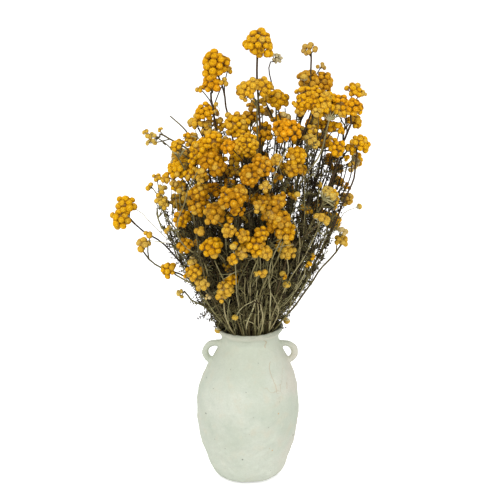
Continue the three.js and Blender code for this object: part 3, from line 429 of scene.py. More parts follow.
# Loose twigs and lone buttons: tone, thickness, radius of the button at the first place, and places as for
# heads.
LOOSE_TWIGS = [
    ("brown", 1.1, 0, (-87.2, 274.2, 8), (-87.8, 267.3, 8), (-84.6, 258.4, 8), (-79.9, 249.5, 9),
        (-73.2, 238.5, 10), (-65.6, 226.5, 12), (-58, 214.4, 14)),
    ("grey", 1, 0, (-81.4, 275.2, 12), (-78.7, 263.3, 12), (-73.1, 252.5, 12), (-65.5, 239.5, 13),
        (-58.8, 225.5, 14)),
    ("brown", 1, 0, (-73.5, 293, 16), (-72.7, 278.2, 16), (-70.9, 267.3, 16), (-67.2, 255.4, 16),
        (-61.6, 241.5, 16)),
    ("grey", 0.9, 0, (-69.7, 293, 20), (-68.9, 279.2, 20), (-67.1, 267.3, 20), (-62.4, 253.5, 20),
        (-56.8, 237.5, 20)),
    ("grey", 0.8, 0, (-83.3, 277.2, 6), (-80.5, 270.3, 6), (-74.9, 263.3, 8), (-67.2, 256.4, 10),
        (-59.6, 245.5, 12)),
    ("brown", 0.9, 0, (-62.8, 304.7, 10), (-64, 287.1, 10), (-65.1, 275.2, 10), (-64.3, 261.4, 10),
        (-59.6, 245.5, 12)),
    ("tan", 1.9, 0, (-23.2, 178, 44), (-22.8, 172, 40), (-21.3, 161.4, 32), (-17.3, 153.2, 24),
        (-11.8, 143.5, 18)),
    ("brown", 2.0, 0, (-56.3, 291, 40), (-51.9, 264.3, 50), (-49.2, 245.5, 52), (-44.8, 216.6, 50),
        (-38.7, 192.4, 44), (-31.2, 176, 36), (-23.3, 161.4, 26), (-15.3, 148, 18)),
    ("grey", 1.5, 0, (-47.7, 309, 50), (-56.2, 292.7, 48), (-61.9, 273.8, 48), (-67.7, 258.7, 46),
        (-67.8, 247.3, 44), (-59.6, 233.9, 46), (-44.9, 224.2, 50), (-38, 205, 46)),
    ("tan", 1.7, 0, (70, 257, 40), (53.2, 221.4, 44), (43.4, 206.1, 42), (34.7, 187.4, 38),
        (27.7, 173.9, 33), (23.7, 163.6, 27), (20.8, 150, 18)),
    ("tan", 1.6, 0, (34, 245, 56), (23.5, 221.4, 56), (20.7, 203, 50), (22.7, 185.4, 44), (21.7, 172.9, 36),
        (21.8, 159.4, 26), (20.8, 148, 17)),
    ("grey", 1.7, 0, (34.3, 240, 58), (28.6, 221.4, 56), (18.6, 203, 52), (13.7, 191.6, 48), (10, 176, 36)),
    ("grey", 1.4, 0, (10.7, 225, 68), (3.7, 204.1, 60), (2.7, 192.7, 56), (2.7, 180, 44)),
    ("brown", 1.5, 0, (3.7, 225, 66), (-2.2, 213.2, 62), (-8.2, 201, 58), (-9.2, 187.4, 52),
        (-7.2, 172, 38)),
    ("tan", 1.0, 0, (-11.9, 219, 72), (-11.4, 205, 62), (-10.6, 188, 50), (-8, 170, 36)),
    ("grey", 1.1, 0, (-2.2, 204, 60), (-2.6, 192, 54), (-2, 178, 42)),
    ("tan", 1.8, 0, (9.8, 190.6, 50), (6.8, 177, 44), (1.8, 163.6, 34), (-1.3, 154.2, 25), (-1.3, 144, 18)),
    ("tan", 1.2, 0, (9, 184, 50), (9.8, 178.2, 46), (10.8, 163.6, 34), (11, 150, 18)),
    ("tan", 1.5, 0, (11.7, 180, 46), (14.8, 163.6, 33), (14.8, 154.2, 24), (15.2, 146, 17)),
    ("tan", 1.3, 0, (20.7, 192, 46), (28.7, 177, 38), (30.3, 166.7, 30), (25.8, 157.2, 23), (19, 146, 15)),
    ("tan", 1.1, 0, (9.8, 183, 50), (5.8, 180.2, 49), (-2, 176, 46), (-8.2, 169.8, 40), (-12, 160, 28)),
    ("tan", 1.1, 0, (-3, 160.5, 32), (5.8, 157.2, 27), (9.8, 153.2, 23), (12, 146, 17)),
    ("grey", 1.2, 0, (-17.2, 182, 46), (-19.2, 167.8, 36), (-18, 152, 22)),
    ("grey", 1.3, 0, (-32, 221, 58), (-28.5, 212, 56), (-24.1, 202, 52), (-18, 188, 42)),
    ("grey", 1.2, 0, (43.4, 187, 30), (40.8, 171, 26), (34, 159, 18), (20, 145, 10)),
    ("brown", 1.8, 0, (-73.6, 362.7, 12), (-65.1, 355, 14), (-58.5, 348.4, 14), (-52, 338, 14),
        (-46, 322, 16)),
    ("tan", 1.2, 0, (-61.5, 340.6, 16), (-57, 342.8, 17), (-51, 342.6, 18), (-44.5, 339.5, 18),
        (-40, 330, 20)),
    ("grey", 0.9, 0, (-110, 273.6, 4), (-101.8, 268.3, 8), (-94.2, 259.4, 12), (-84.7, 249.5, 15),
        (-75.1, 240.5, 18), (-65.6, 228.5, 20), (-54.1, 213.4, 22)),
    ("tan", 0.9, 0, (-96, 241.4, 18), (-88.7, 240.5, 19), (-81.9, 239.5, 20), (-75.2, 238.5, 20),
        (-69.4, 231.5, 20)),
    ("grey", 0.9, 3.2, (105.8, 274.2, 0), (103.4, 273.2, 0), (97.7, 271.2, 1), (92.9, 268.3, 2),
        (90.1, 264.3, 3), (83.5, 249.5, 6)),
    ("grey", 0.5, 2.4, (-30.4, 366, 12), (-26, 363, 12), (-25.2, 360.8, 12), (-21.4, 356.5, 14)),
    ("brown", 0.7, 2.6, (-29, 372.7, 12), (-26.4, 369, 11), (-29, 364.8, 11), (-27, 361, 12)),
    ("tan", 1.3, 0, (38.5, 333, 58), (33, 322, 58), (27, 308, 58), (22.5, 294, 56), (20, 280, 52)),
    ("tan", 1.3, 0, (33, 276, 64), (38.9, 267.3, 60), (45.8, 257.4, 54), (49.7, 246.5, 50),
        (50.8, 231.5, 44), (48, 214, 36)),
    ("grey", 0.8, 4.2, (63.4, 356, 14), (64.5, 349, 10), (63, 338, 8)),
    ("tan", 0.8, 3.7, (-48, 360.8, 8), (-47.5, 355, 8), (-44, 346, 8)),
    ("tan", 0.8, 3.9, (-52.8, 355, 10), (-50, 349, 10), (-46, 340, 8)),
    ("grey", 0.7, 3.6, (38.7, 161.6, 2), (39.6, 167, 2), (36, 166, 2), (30, 160, 4)),
    ("grey", 0.7, 3.0, (35.7, 164.7, 4), (36.2, 168.5, 4), (31, 164, 6)),
    ("tan", 0.7, 3.4, (-29.4, 151.9, 10), (-29, 156, 10), (-24, 158, 10)),
    ("grey", 0.7, 3.4, (-12.4, 161.6, 32), (-12.6, 157, 30), (-10, 150, 20)),
    ("tan", 0.8, 3.4, (-13.8, 233.5, 76), (-13.4, 228, 72), (-10, 218, 62)),
    ("grey", 0.7, 3.6, (-54.2, 217.5, 46), (-51, 212, 44), (-44, 200, 38)),
    ("grey", 0.7, 3.2, (34, 206.4, 46), (33.5, 200, 42), (30, 190, 36)),
    ("grey", 0.8, 4.0, (38, 195.3, 42), (37, 189, 38), (32, 180, 32)),
    ("grey", 0.7, 3.2, (47.5, 285.1, 50), (46, 278, 46), (42, 266, 40)),
    ("grey", 0.8, 3.3, (-65.5, 288, 30), (-65, 279, 28), (-62, 264, 26)),
    ("brown", 0.8, 3.4, (-18.1, 361.7, 16), (-17, 355, 14), (-14, 346, 14)),
    ("tan", 0.7, 3.0, (8.2, 205.9, 62), (8.6, 199, 58), (8, 190, 48)),
    ("dark", 1.7, 0, (100.2, 317.3, 2), (99.4, 308.6, 3), (96.7, 298.9, 4), (91.6, 289, 5), (87, 278.2, 7),
        (82.3, 266.3, 9), (76.7, 253.5, 11)),
    ("dark", 1.6, 0, (97.2, 354.1, 4), (92.7, 342.5, 5), (90, 333.8, 6), (86.3, 322.2, 8), (83.6, 308.6, 9),
        (80, 295, 10), (75.4, 281.1, 12), (67.9, 263.3, 13)),
    ("dark", 2.3, 0, (74.5, 347.4, 20), (72.8, 334.8, 20), (71, 325.1, 20), (68.3, 312.5, 20),
        (64.6, 298.9, 20), (59, 283.1, 20), (50.5, 263.3, 20)),
    ("dark", 2.1, 0, (61.9, 371.2, 16), (58.2, 360.8, 18), (54.5, 351.2, 20), (49.9, 339.6, 22),
        (45.2, 328, 24), (40.5, 315.4, 25)),
    ("dark", 1.5, 0, (89.1, 360.8, 8), (87.3, 349.3, 9), (84.7, 337.7, 10), (81.5, 324.1, 11),
        (77.9, 310.6, 12)),
    ("brown", 1.2, 0, (66.7, 366.5, 24), (67.8, 357, 24), (67.4, 347.4, 24), (65.6, 335.8, 23),
        (62.4, 322.2, 22)),
    ("brown", 1.5, 0, (35.4, 370.3, 2), (36.4, 360.8, 3), (37.4, 349.3, 4), (35.6, 334.8, 6),
        (31.9, 320.3, 8)),
    ("brown", 1.0, 3.9, (53.2, 397, -12), (53.7, 391.2, -12), (57.1, 379.8, -12), (58, 366, -10)),
    ("grey", 2.0, 0, (77.2, 358, 26), (74.5, 346.4, 28), (71.4, 332.8, 31), (66.7, 322.2, 34),
        (58.7, 310.6, 36), (49.3, 295, 36)),
]
TONES = {"tan": 0.92, "grey": 0.74, "brown": 0.4, "dark": 0.08}

# Thin stems that are dark with leaves, from their tips down.
LEAFY_TWIGS = [
    [(80.5, 329.9, 6), (77.8, 318.3, 8), (75.1, 306.7, 10), (70.4, 293, 12), (63.9, 276.2, 14)],
    [(89.1, 324.1, 0), (86.5, 312.5, 2), (82.8, 299.9, 4), (77.3, 285.1, 6), (67.8, 269.3, 8)],
    [(95.9, 317.3, -4), (93.3, 305.7, -2), (89.6, 293, 0), (83.1, 278.2, 2), (74.7, 263.3, 4)],
    [(71, 328, 10), (69.2, 314.4, 12), (66.5, 300.9, 14), (60.9, 285.1, 16)],
    [(83, 336, -6), (81, 322, -4), (78, 308, -2), (73, 294, 0)],
    [(-13.9, 331, 6), (-13.9, 320.3, 6), (-14.9, 308.6, 8)],
    [(-10, 328, 0), (-11, 316, 0), (-12, 304, 2)],
    [(17.7, 297, 10), (16.7, 283.1, 14), (14.8, 269.3, 18)],
    [(22, 300, 4), (21, 286, 8), (19, 272, 12)],
    [(-36, 306, 10), (-33, 294, 14), (-30, 282, 18)],
    [(85.2, 269.3, 6), (82.5, 257.4, 8), (77.8, 245.5, 10), (70.2, 229.5, 12)],
    [(79.5, 259.4, 14), (75.8, 248.5, 16), (69.2, 234.5, 18)],
    [(89.9, 275.2, -4), (86.2, 262.4, -2), (81.6, 249.5, 0), (76, 237.5, 2)],
    [(89.1, 325.1, -2), (90.2, 315.4, 0), (89.4, 304.7, 2), (85.8, 291, 4)],
    [(95, 317.3, -8), (93.2, 306.7, -6), (89.6, 294, -4), (84.1, 278.2, -2)],
    [(71, 322.2, 0), (71.2, 311.5, 2), (69.4, 298.9, 4)],
    [(34.6, 343.5, -8), (34.7, 330.9, -6), (32.9, 318.3, -4)],
    [(39.4, 339.6, -14), (38.5, 327, -12), (36.7, 312.5, -10)],
]

# Leafy twigs low at the left, whose leaves stand out past the others.
FRINGE_TWIGS = [
    [(-42.8, 162.7, 18), (-40.3, 168.8, 18), (-39.8, 175.9, 19), (-33.9, 173.9, 20)],
    [(-37.9, 158.6, 22), (-34.9, 165.7, 22), (-30, 171.8, 20)],
    [(-32, 155.5, 14), (-30, 162.7, 14), (-27.1, 169.8, 14)],
    [(-47.6, 176.9, 12), (-43.6, 181, 13), (-38.7, 184.1, 14), (-32.9, 181, 16)],
    [(-51.4, 186.1, 6), (-47.5, 190.2, 8), (-40.6, 188.2, 10), (-33.9, 180, 12)],
    [(-57.1, 200.4, 2), (-51.3, 195.3, 4), (-43.6, 189.2, 6), (-36.8, 180, 8)],
    [(-40.8, 167.8, 2), (-35.9, 171.8, 4), (-30, 174.9, 8)],
]
FRINGE_REACH = 12

# Bare fans of pale stalks that show under the heads: their hub, then the stalks' ends, placed as heads are.
FANS = [
    [(77.2, 358, 26), (69, 364, 18), (72, 367, 18), (75.5, 369, 16), (79, 369, 14), (82.6, 368, 12),
        (86, 366, 10), (89, 363.5, 8)],
    [(72.5, 281.6, 38), (68.1, 291, 38), (71.4, 289.5, 38), (75.3, 287.5, 38), (79.2, 284.1, 38),
        (82.1, 279.6, 38), (82.7, 275.2, 36)],
    [(-65, 322.7, 22), (-72.1, 329, 24), (-68.8, 327.5, 25), (-65, 327, 25), (-61.1, 329, 25),
        (-58.7, 331.9, 24)],
]

# The camera stands a little to the right of the axis and looks down by this angle.
VIEW_SIDE = 2.3
VIEW_FALL = math.radians(14.36)

# The kinds of surface of a pile's faces
BLOOM, STALK, LEAF = 0, 1, 2


# Numbers, paths and places

class Draw:
    """Evenly spread numbers from 0 to 1 that are the same in every run, as the frame's source draws them."""

    def __init__(self, seed):
        self.state = seed

    def __call__(self):
        whole = 0xFFFFFFFF
        self.state = (self.state + 0x6D2B79F5) & whole
        mixed = (self.state ^ (self.state >> 15)) * (1 | self.state) & whole
        mixed ^= (mixed + ((mixed ^ (mixed >> 7)) * (61 | mixed) & whole)) & whole
        return (mixed ^ (mixed >> 14)) / (whole + 1)


def clamp(value, low, high):
    return max(low, min(high, value))


def ease(value, start, stop):
    share = clamp((value - start) / (stop - start), 0, 1)
    return share * share * (3 - 2 * share)


def either_way(random, width):
    """A random amount up to half of width, to one side or the other."""
    return width * (random.random() - 0.5)


def random_place(random, size):
    return Vector((random.random(), random.random(), random.random())) * size


def random_step(random, spread):
    return Vector([random.gauss(0, spread) for _ in range(3)])


def neck_shift(height):
    return NECK_SHIFT * ease(height, SHIFT_FROM, SHIFT_TO)


def seen_place(x, z, depth):
    slide = depth / VIEW_DISTANCE
    return Vector((x * (1 - slide), -depth, z + (VIEW_HEIGHT - z) * slide))


def seen_path(places):
    """The given places from the last to the first, as stems are drawn from below."""
    return [seen_place(*place) for place in reversed(places)]


def turn_of(point):
    return math.atan2(point.y, point.x - NECK_SHIFT)


def distance_out(point):
    return math.hypot(point.x - NECK_SHIFT, point.y)


def way_out(point):
    """The level way from the bouquet's axis to a point."""
    return Vector((point.x - NECK_SHIFT, point.y, 0))


def around(turn, distance, height):
    return Vector((NECK_SHIFT + distance * math.cos(turn), distance * math.sin(turn), height))


def smooth_path(places, spacing):
    """Places along a smooth curve through the given ones, about as far apart as spacing."""
    lengths = [max((b - a).length, 0.01) for a, b in zip(places, places[1:])]
    slopes = []
    for i, place in enumerate(places):
        if i == 0:
            slopes.append((places[1] - place) / lengths[0])
        elif i == len(places) - 1:
            slopes.append((place - places[i - 1]) / lengths[-1])
        else:
            before, after = lengths[i - 1], lengths[i]
            slope = (places[i + 1] - place) / after * before + (place - places[i - 1]) / before * after
            slopes.append(slope / (before + after))
    path = [places[0].copy()]
    for i, length in enumerate(lengths):
        steps = max(1, round(length / spacing))
        for k in range(1, steps + 1):
            t = k / steps
            path.append(
                places[i] * (2 * t**3 - 3 * t**2 + 1)
                + slopes[i] * length * (t**3 - 2 * t**2 + t)
                + places[i + 1] * (3 * t**2 - 2 * t**3)
                + slopes[i + 1] * length * (t**3 - t**2)
            )
    return path


def sway(path, amount, random):
    """Moves the inner places of a path a little, as a dried stem wanders, but not inside the vase."""
    shift = random_place(random, NOISE_FIELD)
    last = len(path) - 1
    for i in range(1, last):
        share = math.sin(math.pi * min(1, SWAY_ONSET * i / last, SWAY_ONSET * (last - i) / last) / 2)
        share *= ease(path[i].z, *SWAY_HEIGHTS)
        path[i] = path[i] + noise.noise_vector(path[i] / SWAY_LENGTH + shift) * amount * share
    return path


def path_length(path):
    return sum((b - a).length for a, b in zip(path, path[1:]))


def joint_below(path, wanted, least):
    """The number of the place from which a path goes on for the wanted length, but none before least."""
    below = len(path) - 1
    while below > least and path_length(path[below:]) < wanted:
        below -= 1
    return below


# How the heads and branches grow, as in the frame's source

class Head:
    def __init__(self, centre, radius, axis, root, carrier=None):
        self.centre, self.radius, self.axis, self.root, self.carrier = centre, radius, axis, root, carrier
        self.form, self.faded, self.button = FORMS["dome"], 0, None

    @property
    def hub(self):
        """Where the stalks of the head's buttons part."""
        return self.centre - self.axis * self.form[2] * self.radius

    def finish(self, spray, order):
        """Gives the head its form and fading, and turns it to stand on the stem that is seen under it."""
        for form, heads in FORMED_HEADS.items():
            if order in heads.get(spray, ()):
                self.form = FORMS[form]
        self.faded = FADED.get(spray, {}).get(order, 0)
        self.button = SMALL_BUTTONS.get(spray, {}).get(order, BUTTON_SIZES.get(spray))
        self.radius *= GROWN.get(spray, {}).get(order, 1)
        way = STEM_WAYS.get((spray, order))
        if way:
            upwards = (self.centre - seen_place(*way[0])).normalized()
            self.axis = (self.axis + upwards * WAY_PULL).normalized()
        if self.centre.y < FRONT_FROM and self.form is not FORMS["fan"]:
            lean = FRONT_LEAN * clamp(1 + self.centre.y / FRONT_LEAN_EASE, 1, FRONT_LEAN_MOST)
            self.axis = (self.axis - Vector((0, lean, 0))).normalized()


class Spray:
    def __init__(self, name, tone, places):
        self.name, self.tone, self.heads = name, tone, []
        for centre, radius in places:
            self.heads.append(grow_head(centre, radius, self.heads))
        for order, head in enumerate(self.heads):
            head.finish(name, order)


def head_axis(centre):
    outward = way_out(centre)
    growth = Vector((outward.x, outward.y, centre.z - GATE_HEIGHT)).normalized()
    return (growth + outward.normalized() * OUTWARD_LEAN + UP * OUTWARD_LEAN).normalized()


def grow_head(centre, radius, earlier):
    axis = head_axis(centre)
    if not earlier:
        return Head(centre, radius, axis, centre - axis * SEAT_REACH * radius)
    carrier = min(earlier, key=lambda head: (head.centre - centre).length)
    hold = carrier.centre - carrier.axis * HOLD_REACH * carrier.radius
    away = centre - hold
    axis = (axis + away.normalized()).normalized()
    if away.length < STALK_FROM * radius:
        return Head(centre, radius, axis, hold, carrier)
    return Head(centre, radius, axis, centre - axis * SEAT_REACH * radius, carrier)


def front_sprays():
    sprays = []
    for name, tone, *rows in SPRAYS:
        rows += EXTRA_HEADS.get(name, [])
        sprays.append(Spray(name, tone, [(seen_place(x, z, depth), radius) for x, z, depth, radius in rows]))
    return sprays


def back_sprays():
    sprays = []
    for order, (height, distance) in enumerate(BACK_SPRAYS):
        draw = Draw(BACK_SEED + order)
        turn = BACK_FROM + (BACK_TO - BACK_FROM) * order / (len(BACK_SPRAYS) - 1)
        middle = Vector((
            NECK_SHIFT + distance * BACK_WIDENING * math.cos(turn),
            distance * math.sin(turn),
            height,
        ))
        sideways = Vector((-math.sin(turn), math.cos(turn), 0))
        places = [(middle, BACK_FIRST_RADIUS + BACK_GROWTH * draw())]
        for i in range(1, BACK_HEADS):
            lift = (i - 1) / (BACK_HEADS - 2) * math.pi + 0.6 * draw() - 0.3
            centre = (middle + sideways * BACK_SPREAD * math.cos(lift)
                      + UP * BACK_SPREAD * (0.8 * math.sin(lift) + 0.15))
            places.append((centre, BACK_RADIUS + BACK_GROWTH * draw()))
        sprays.append(Spray(f"back_{order + 1}", "ochre" if order % 3 == 1 else "gold", places))
    return sprays


class Crowd:
    """What a stem keeps clear of: every head and its underside."""

    def __init__(self, sprays):
        centres, radii, self.owners = [], [], []
        for spray in sprays:
            for i, head in enumerate(spray.heads):
                centres.append(head.centre)
                radii.append(head.radius)
                self.owners.append(head)
                if i > 0:
                    centres.append(head.centre.lerp(head.root, 0.6))
                    radii.append(0.5 * head.radius)
                    self.owners.append(head)
        self.centres = np.array(centres)
        self.radii = np.array(radii)

    def near(self, start, stop, margin):
        """The numbers of those that a stretch comes nearer to than margin."""
        start, along = np.array(start), np.array(stop - start)
        share = np.clip((self.centres - start) @ along / max(along @ along, 1e-9), 0, 1)
        apart = np.linalg.norm(start + share[:, None] * along - self.centres, axis=1)
        return np.nonzero(apart < self.radii + margin)[0]

    def free(self, point, margin):
        return bool((np.linalg.norm(self.centres - np.array(point), axis=1) > self.radii + margin).all())

    def cut_short(self, path, margin):
        """The path, up to where a head is in its way."""
        for i, place in enumerate(path):
            if place.z > GATE_HEIGHT and not self.free(place, margin):
                return path[:i]
        return path


def push_out(places, own, crowd):
    """Moves the places of a branch off whatever a stretch of it comes too near to. The first one stays."""
    for i in range(1, len(places)):
        low, high = places[i - 1], places[i]
        for k in crowd.near(low, high, BRANCH_CLEAR + PUSH_MARGIN):
            centre, radius = Vector(crowd.centres[k]), crowd.radii[k]
            stretch = high - low
            share = clamp((centre - low).dot(stretch) / max(stretch.length_squared, 1e-9), 0, 1)
            away = low + stretch * share - centre
            lacking = radius + BRANCH_CLEAR - away.length
            if lacking > 0 and not (crowd.owners[k] is own and i == len(places) - 1):
                away.length = lacking * PUSH_SHARE
                high += away
                if i > 1:
                    low += away


def sector_turn(sector):
    return -math.pi / 2 + sector * 2 * math.pi / SECTORS


def turn_in(sector, share):
    """The turn that lies a share of the sector's width from its middle."""
    return sector_turn(sector) + share * 2 * math.pi / SECTORS


def turn_from(sector, turn):
    return (turn - sector_turn(sector) + math.pi) % (2 * math.pi) - math.pi


def sector_of(point):
    return round((turn_of(point) + math.pi / 2) % (2 * math.pi) / (2 * math.pi / SECTORS)) % SECTORS


def keep_in_sector(point, sector):
    distance = max(distance_out(point), 2 * BRANCH_CLEAR + 1)
    widest = math.pi / SECTORS - math.asin(min(0.9, BRANCH_CLEAR / distance))
    turn = clamp(turn_from(sector, turn_of(point)), -widest, widest)
    point.xyz = around(sector_turn(sector) + turn, distance, point.z)


def foot_under(gate):
    return around(turn_of(gate), STEM_FOOT_SHARE * distance_out(gate), STEM_FOOT_HEIGHT)


def branch_path(spray, sector, order, count, crowd, random):
    """From the vase's floor through its neck and on, nearly straight, to the first head."""
    head = spray.heads[0]
    approach = head.root - head.axis * APPROACH_LENGTH
    slope = distance_out(head.root) / (head.root.z - GATE_HEIGHT)
    spread = order / (count - 1) - 0.5 if count > 1 else 0
    way = seen_path(STEM_WAYS.get((spray.name, 0), []))
    gate = around(
        sector_turn(sector) + 2 * GATE_TURN * spread,
        GATE_NEAR + (GATE_FAR - GATE_NEAR) * clamp(slope * GATE_SLOPE, 0, 1),
        GATE_HEIGHT,
    )
    if way:
        path = smooth_path([foot_under(gate), gate, *way, head.hub], STEM_SPACING)
        return sway(path, SWAY_OF_WAYS, random)
    steps = max(2, round((approach - gate).length / BRANCH_SPACING))
    free = [gate.lerp(approach, i / steps) for i in range(1, steps)]
    for _ in range(PUSH_PASSES):
        moving = [gate, *free, approach]
        push_out(moving, head, crowd)
        for place in moving[1:]:
            keep_in_sector(place, sector)
    path = smooth_path([foot_under(gate), gate, *free, approach, head.root], STEM_SPACING)
    return sway(path, SWAY_OF_BRANCHES, random)


def seen_side_path(head, way, main, random):
    """The stem of a further head where it shows.

    It joins its branch at the highest place from which it rises steeply. Where there is none, it joins it at
    the nearest one, and rather below its own lowest place than above.
    """
    way = seen_path(way)
    low = way[0]

    def is_steep(place):
        return GATE_HEIGHT < place.z < low.z - JOINT_SLOPE * (place - low).xy.length

    near = min(main, key=lambda place: (place - low).length + (JOINT_DROP if place.z > low.z else 0))
    joint = max(filter(is_steep, main), key=lambda place: place.z, default=near)
    return sway(smooth_path([joint.copy(), *way, head.hub], STEM_SPACING), SWAY_OF_WAYS, random)


def side_path(head, main, crowd, random):
    """The stem of a further head that stands well off, down to where it leaves its branch."""
    apart = (head.centre - head.carrier.centre).length
    wanted = SIDE_LENGTH + SIDE_PER_GAP * apart + SIDE_LENGTHENING * random.random()
    joint = main[joint_below(main, wanted, len(main) * SIDE_JOINT_LEAST)]
    approach = head.hub - head.axis * APPROACH_LENGTH
    middle = joint.lerp(approach, 0.55) + (head.axis - UP) * SIDE_BOW
    places = [joint.copy(), middle, approach]
    for _ in range(SIDE_PUSH_PASSES):
        push_out(places, head, crowd)
    return sway(smooth_path([*places, head.hub], STEM_SPACING), SWAY_OF_SIDES, random)


def twig_path(head, stem, random):
    """The short stem of a head that shares a branch with its neighbour, from a little below that one."""
    wanted = TWIG_LENGTH + TWIG_PER_GAP * (head.centre - head.carrier.centre).length
    joint = stem[joint_below(stem, wanted, 0)]
    middle = joint.lerp(head.hub, 0.55) - head.axis * TWIG_SAG * (head.hub - joint).length
    return sway(smooth_path([joint.copy(), middle, head.hub], TWIG_SPACING), SWAY_OF_TWIGS, random)


def leafy_reach(height):
    heights, reaches = zip(*LEAFY_REACH)
    return float(np.interp(height, heights, reaches))


def leafy_share(share, turn):
    """A share of the way out through the leafy part, which is flatter towards the front and back."""
    return share / math.hypot(math.cos(turn), math.sin(turn) / LEAFY_DEPTH)


def drawn_back(turn, height):
    """How far in the stems stand just above the mouth: furthest at its front right, which stays dark."""
    facing = max(0, math.cos(turn - DRAWN_BACK_TURN))
    return 1 - DRAWN_BACK * facing * (1 - ease(height, *DRAWN_BACK_HEIGHTS))


def filler_path(sector, order, crowd, random):
    """A thin leafy stem that follows the bouquet's outline some way in, and ends under a head in its way."""
    turn = turn_in(sector, order / FILLERS - 0.5) + either_way(random, 0.06)
    height = FILLER_LOW + FILLER_RISE * random.random() ** 0.8
    share = FILLER_INMOST + FILLER_REACH * random.random() ** 0.5
    flat = leafy_share(share, turn)
    gate = around(turn, (2 + 18 * share) * drawn_back(turn, GATE_HEIGHT), GATE_HEIGHT)
    throat = around(turn, leafy_reach(GATE_HEIGHT) * share * drawn_back(turn, FILLER_THROAT), FILLER_THROAT)
    levels = [level for level in LEAFY_LEVELS if level < height - 10] + [height]
    places = [around(turn, leafy_reach(level) * flat * drawn_back(turn, level), level) for level in levels]
    path = smooth_path([foot_under(gate), gate, throat, *places], STEM_SPACING)
    return crowd.cut_short(sway(path, SWAY_OF_FILLERS, random), FILLER_CLEAR)


# Shapes that are used many times, and piles of their copies

class Shape:
    """A small mesh made by operators, kept as arrays so that many copies of it can be placed."""

    def __init__(self, bm, crown=-1.0):
        bmesh.ops.recalc_face_normals(bm, faces=bm.faces)
        bmesh.ops.triangulate(bm, faces=bm.faces)
        bm.verts.index_update()
        self.points = np.array([vert.co for vert in bm.verts])
        self.triangles = np.array([[vert.index for vert in face.verts] for face in bm.faces])
        self.crown = crown
        bm.free()


def cut_across(bm, cuts):
    """Cuts an upright cone or tube of height 1 into rings."""
    upright = [edge for edge in bm.edges if abs(edge.verts[0].co.z - edge.verts[1].co.z) > 0.5]
    bmesh.ops.subdivide_edges(bm, edges=upright, cuts=cuts, use_grid_fill=True)


@lru_cache(maxsize=None)
def tube(sides, steps):
    """A straight closed tube with its rings at equal heights from 0 to 1."""
    bm = bmesh.new()
    bmesh.ops.create_cone(bm, cap_ends=True, segments=sides, radius1=1, radius2=1, depth=1)
    bmesh.ops.translate(bm, verts=bm.verts, vec=(0, 0, 0.5))
    cut_across(bm, steps - 1)
    return Shape(bm)


def bend(shape, path, radii):
    """Moves the rings of a straight tube to the places of a path."""
    across = Vector((0.31, 0.93, 0.17))
    sides, others = [], []
    last = len(path) - 1
    for i in range(last + 1):
        along = (path[min(i + 1, last)] - path[max(i - 1, 0)]).normalized()
        across = (across - along * across.dot(along)).normalized()
        sides.append(across)
        others.append(along.cross(across))
    ring = np.rint(shape.points[:, 2] * last).astype(int)
    width = np.array(radii)[ring][:, None]
    level = np.array(sides)[ring] * shape.points[:, :1] + np.array(others)[ring] * shape.points[:, 1:2]
    return np.array(path)[ring] + level * width


class Pile:
    """Gathers copies of shapes into one mesh. Each copy has its own marks, which the materials read."""

    def __init__(self):
        self.points, self.triangles, self.kinds = [], [], []
        self.marks = {"crown": [], "shade": [], "tone": [], "painted_shade": []}
        self.count = 0

    def add(self, shape, points, kind, shade, tone, painted_shade=0):
        self.points.append(points)
        self.triangles.append(shape.triangles + self.count)
        self.kinds.append(np.full(len(shape.triangles), kind))
        for values, value in zip(self.marks.values(), (shape.crown, shade, tone, painted_shade)):
            values.append(np.broadcast_to(value, len(points)))
        self.count += len(points)

    def limb(self, path, size, shade, tone):
        """A stem along a path. Its size is its radii at both ends and the number of its sides."""
        start, stop, sides = size
        last = len(path) - 1
        radii = [start + (stop - start) * i / last for i in range(last + 1)]
        shape = tube(sides, last)
        self.add(shape, bend(shape, path, radii), STALK, shade, tone)

    def leaf(self, foot, direction, length, depth, random):
        """A leaf with painted shade: darker the smaller its depth, which is how far out in the bouquet it
        grows, up to 1.
        """
        shape = random.choice(SPRIGS)
        turn = upright_turn(direction, random)
        shade = random.random()
        tone = LEAF_TONE + LEAF_PALING * random.random() ** 1.3
        self.add(shape, placed(shape, foot, turn, length), LEAF, shade, tone * depth)

    def make(self, name, *materials):
        mesh = bpy.data.meshes.new(name)
        points, triangles = np.concatenate(self.points) * MM, np.concatenate(self.triangles)
        mesh.from_pydata(points.tolist(), [], triangles.tolist())
        for mark, values in self.marks.items():
            attribute = mesh.attributes.new(mark, "FLOAT", "POINT")
            attribute.data.foreach_set("value", np.concatenate(values).astype(np.float32))
        mesh.polygons.foreach_set("material_index", np.concatenate(self.kinds).astype(np.int32))
        mesh.shade_smooth()
        for material in materials:
            mesh.materials.append(material)
        return in_scene(name, mesh)


def in_scene(name, data):
    """A new object in the scene."""
    thing = bpy.data.objects.new(name, data)
    bpy.context.scene.collection.objects.link(thing)
    return thing


def upright_turn(direction, random):
    """Turns a shape that stands along +Z to a direction, rolled about it at random."""
    roll = random.random() * 2 * math.pi
    return direction.to_track_quat("Z", "Y").to_matrix() @ Matrix.Rotation(roll, 3, "Z")


def placed(shape, centre, turn, size):
    return shape.points * size @ np.array(turn).T + np.array(centre)


def button_shape(seed):
    """A round cushion of florets over a cup that narrows to its stalk."""
    random = Random(seed)
    bm = bmesh.new()
    bmesh.ops.create_icosphere(bm, subdivisions=2, radius=1)
    bmesh.ops.pointmerge(bm, verts=[vert for vert in bm.verts if vert.co.z < -0.5], merge_co=(0, 0, -0.95))
    crown = [vert.co.z for vert in bm.verts]
    for vert in bm.verts:
        height = vert.co.z
        vert.co *= 1 + either_way(random, 0.07)
        if height < 0:
            narrowing = 1 - 0.42 * height * height
            vert.co.x *= narrowing
            vert.co.y *= narrowing
        else:
            vert.co.z *= 0.94
    return Shape(bm, crown)


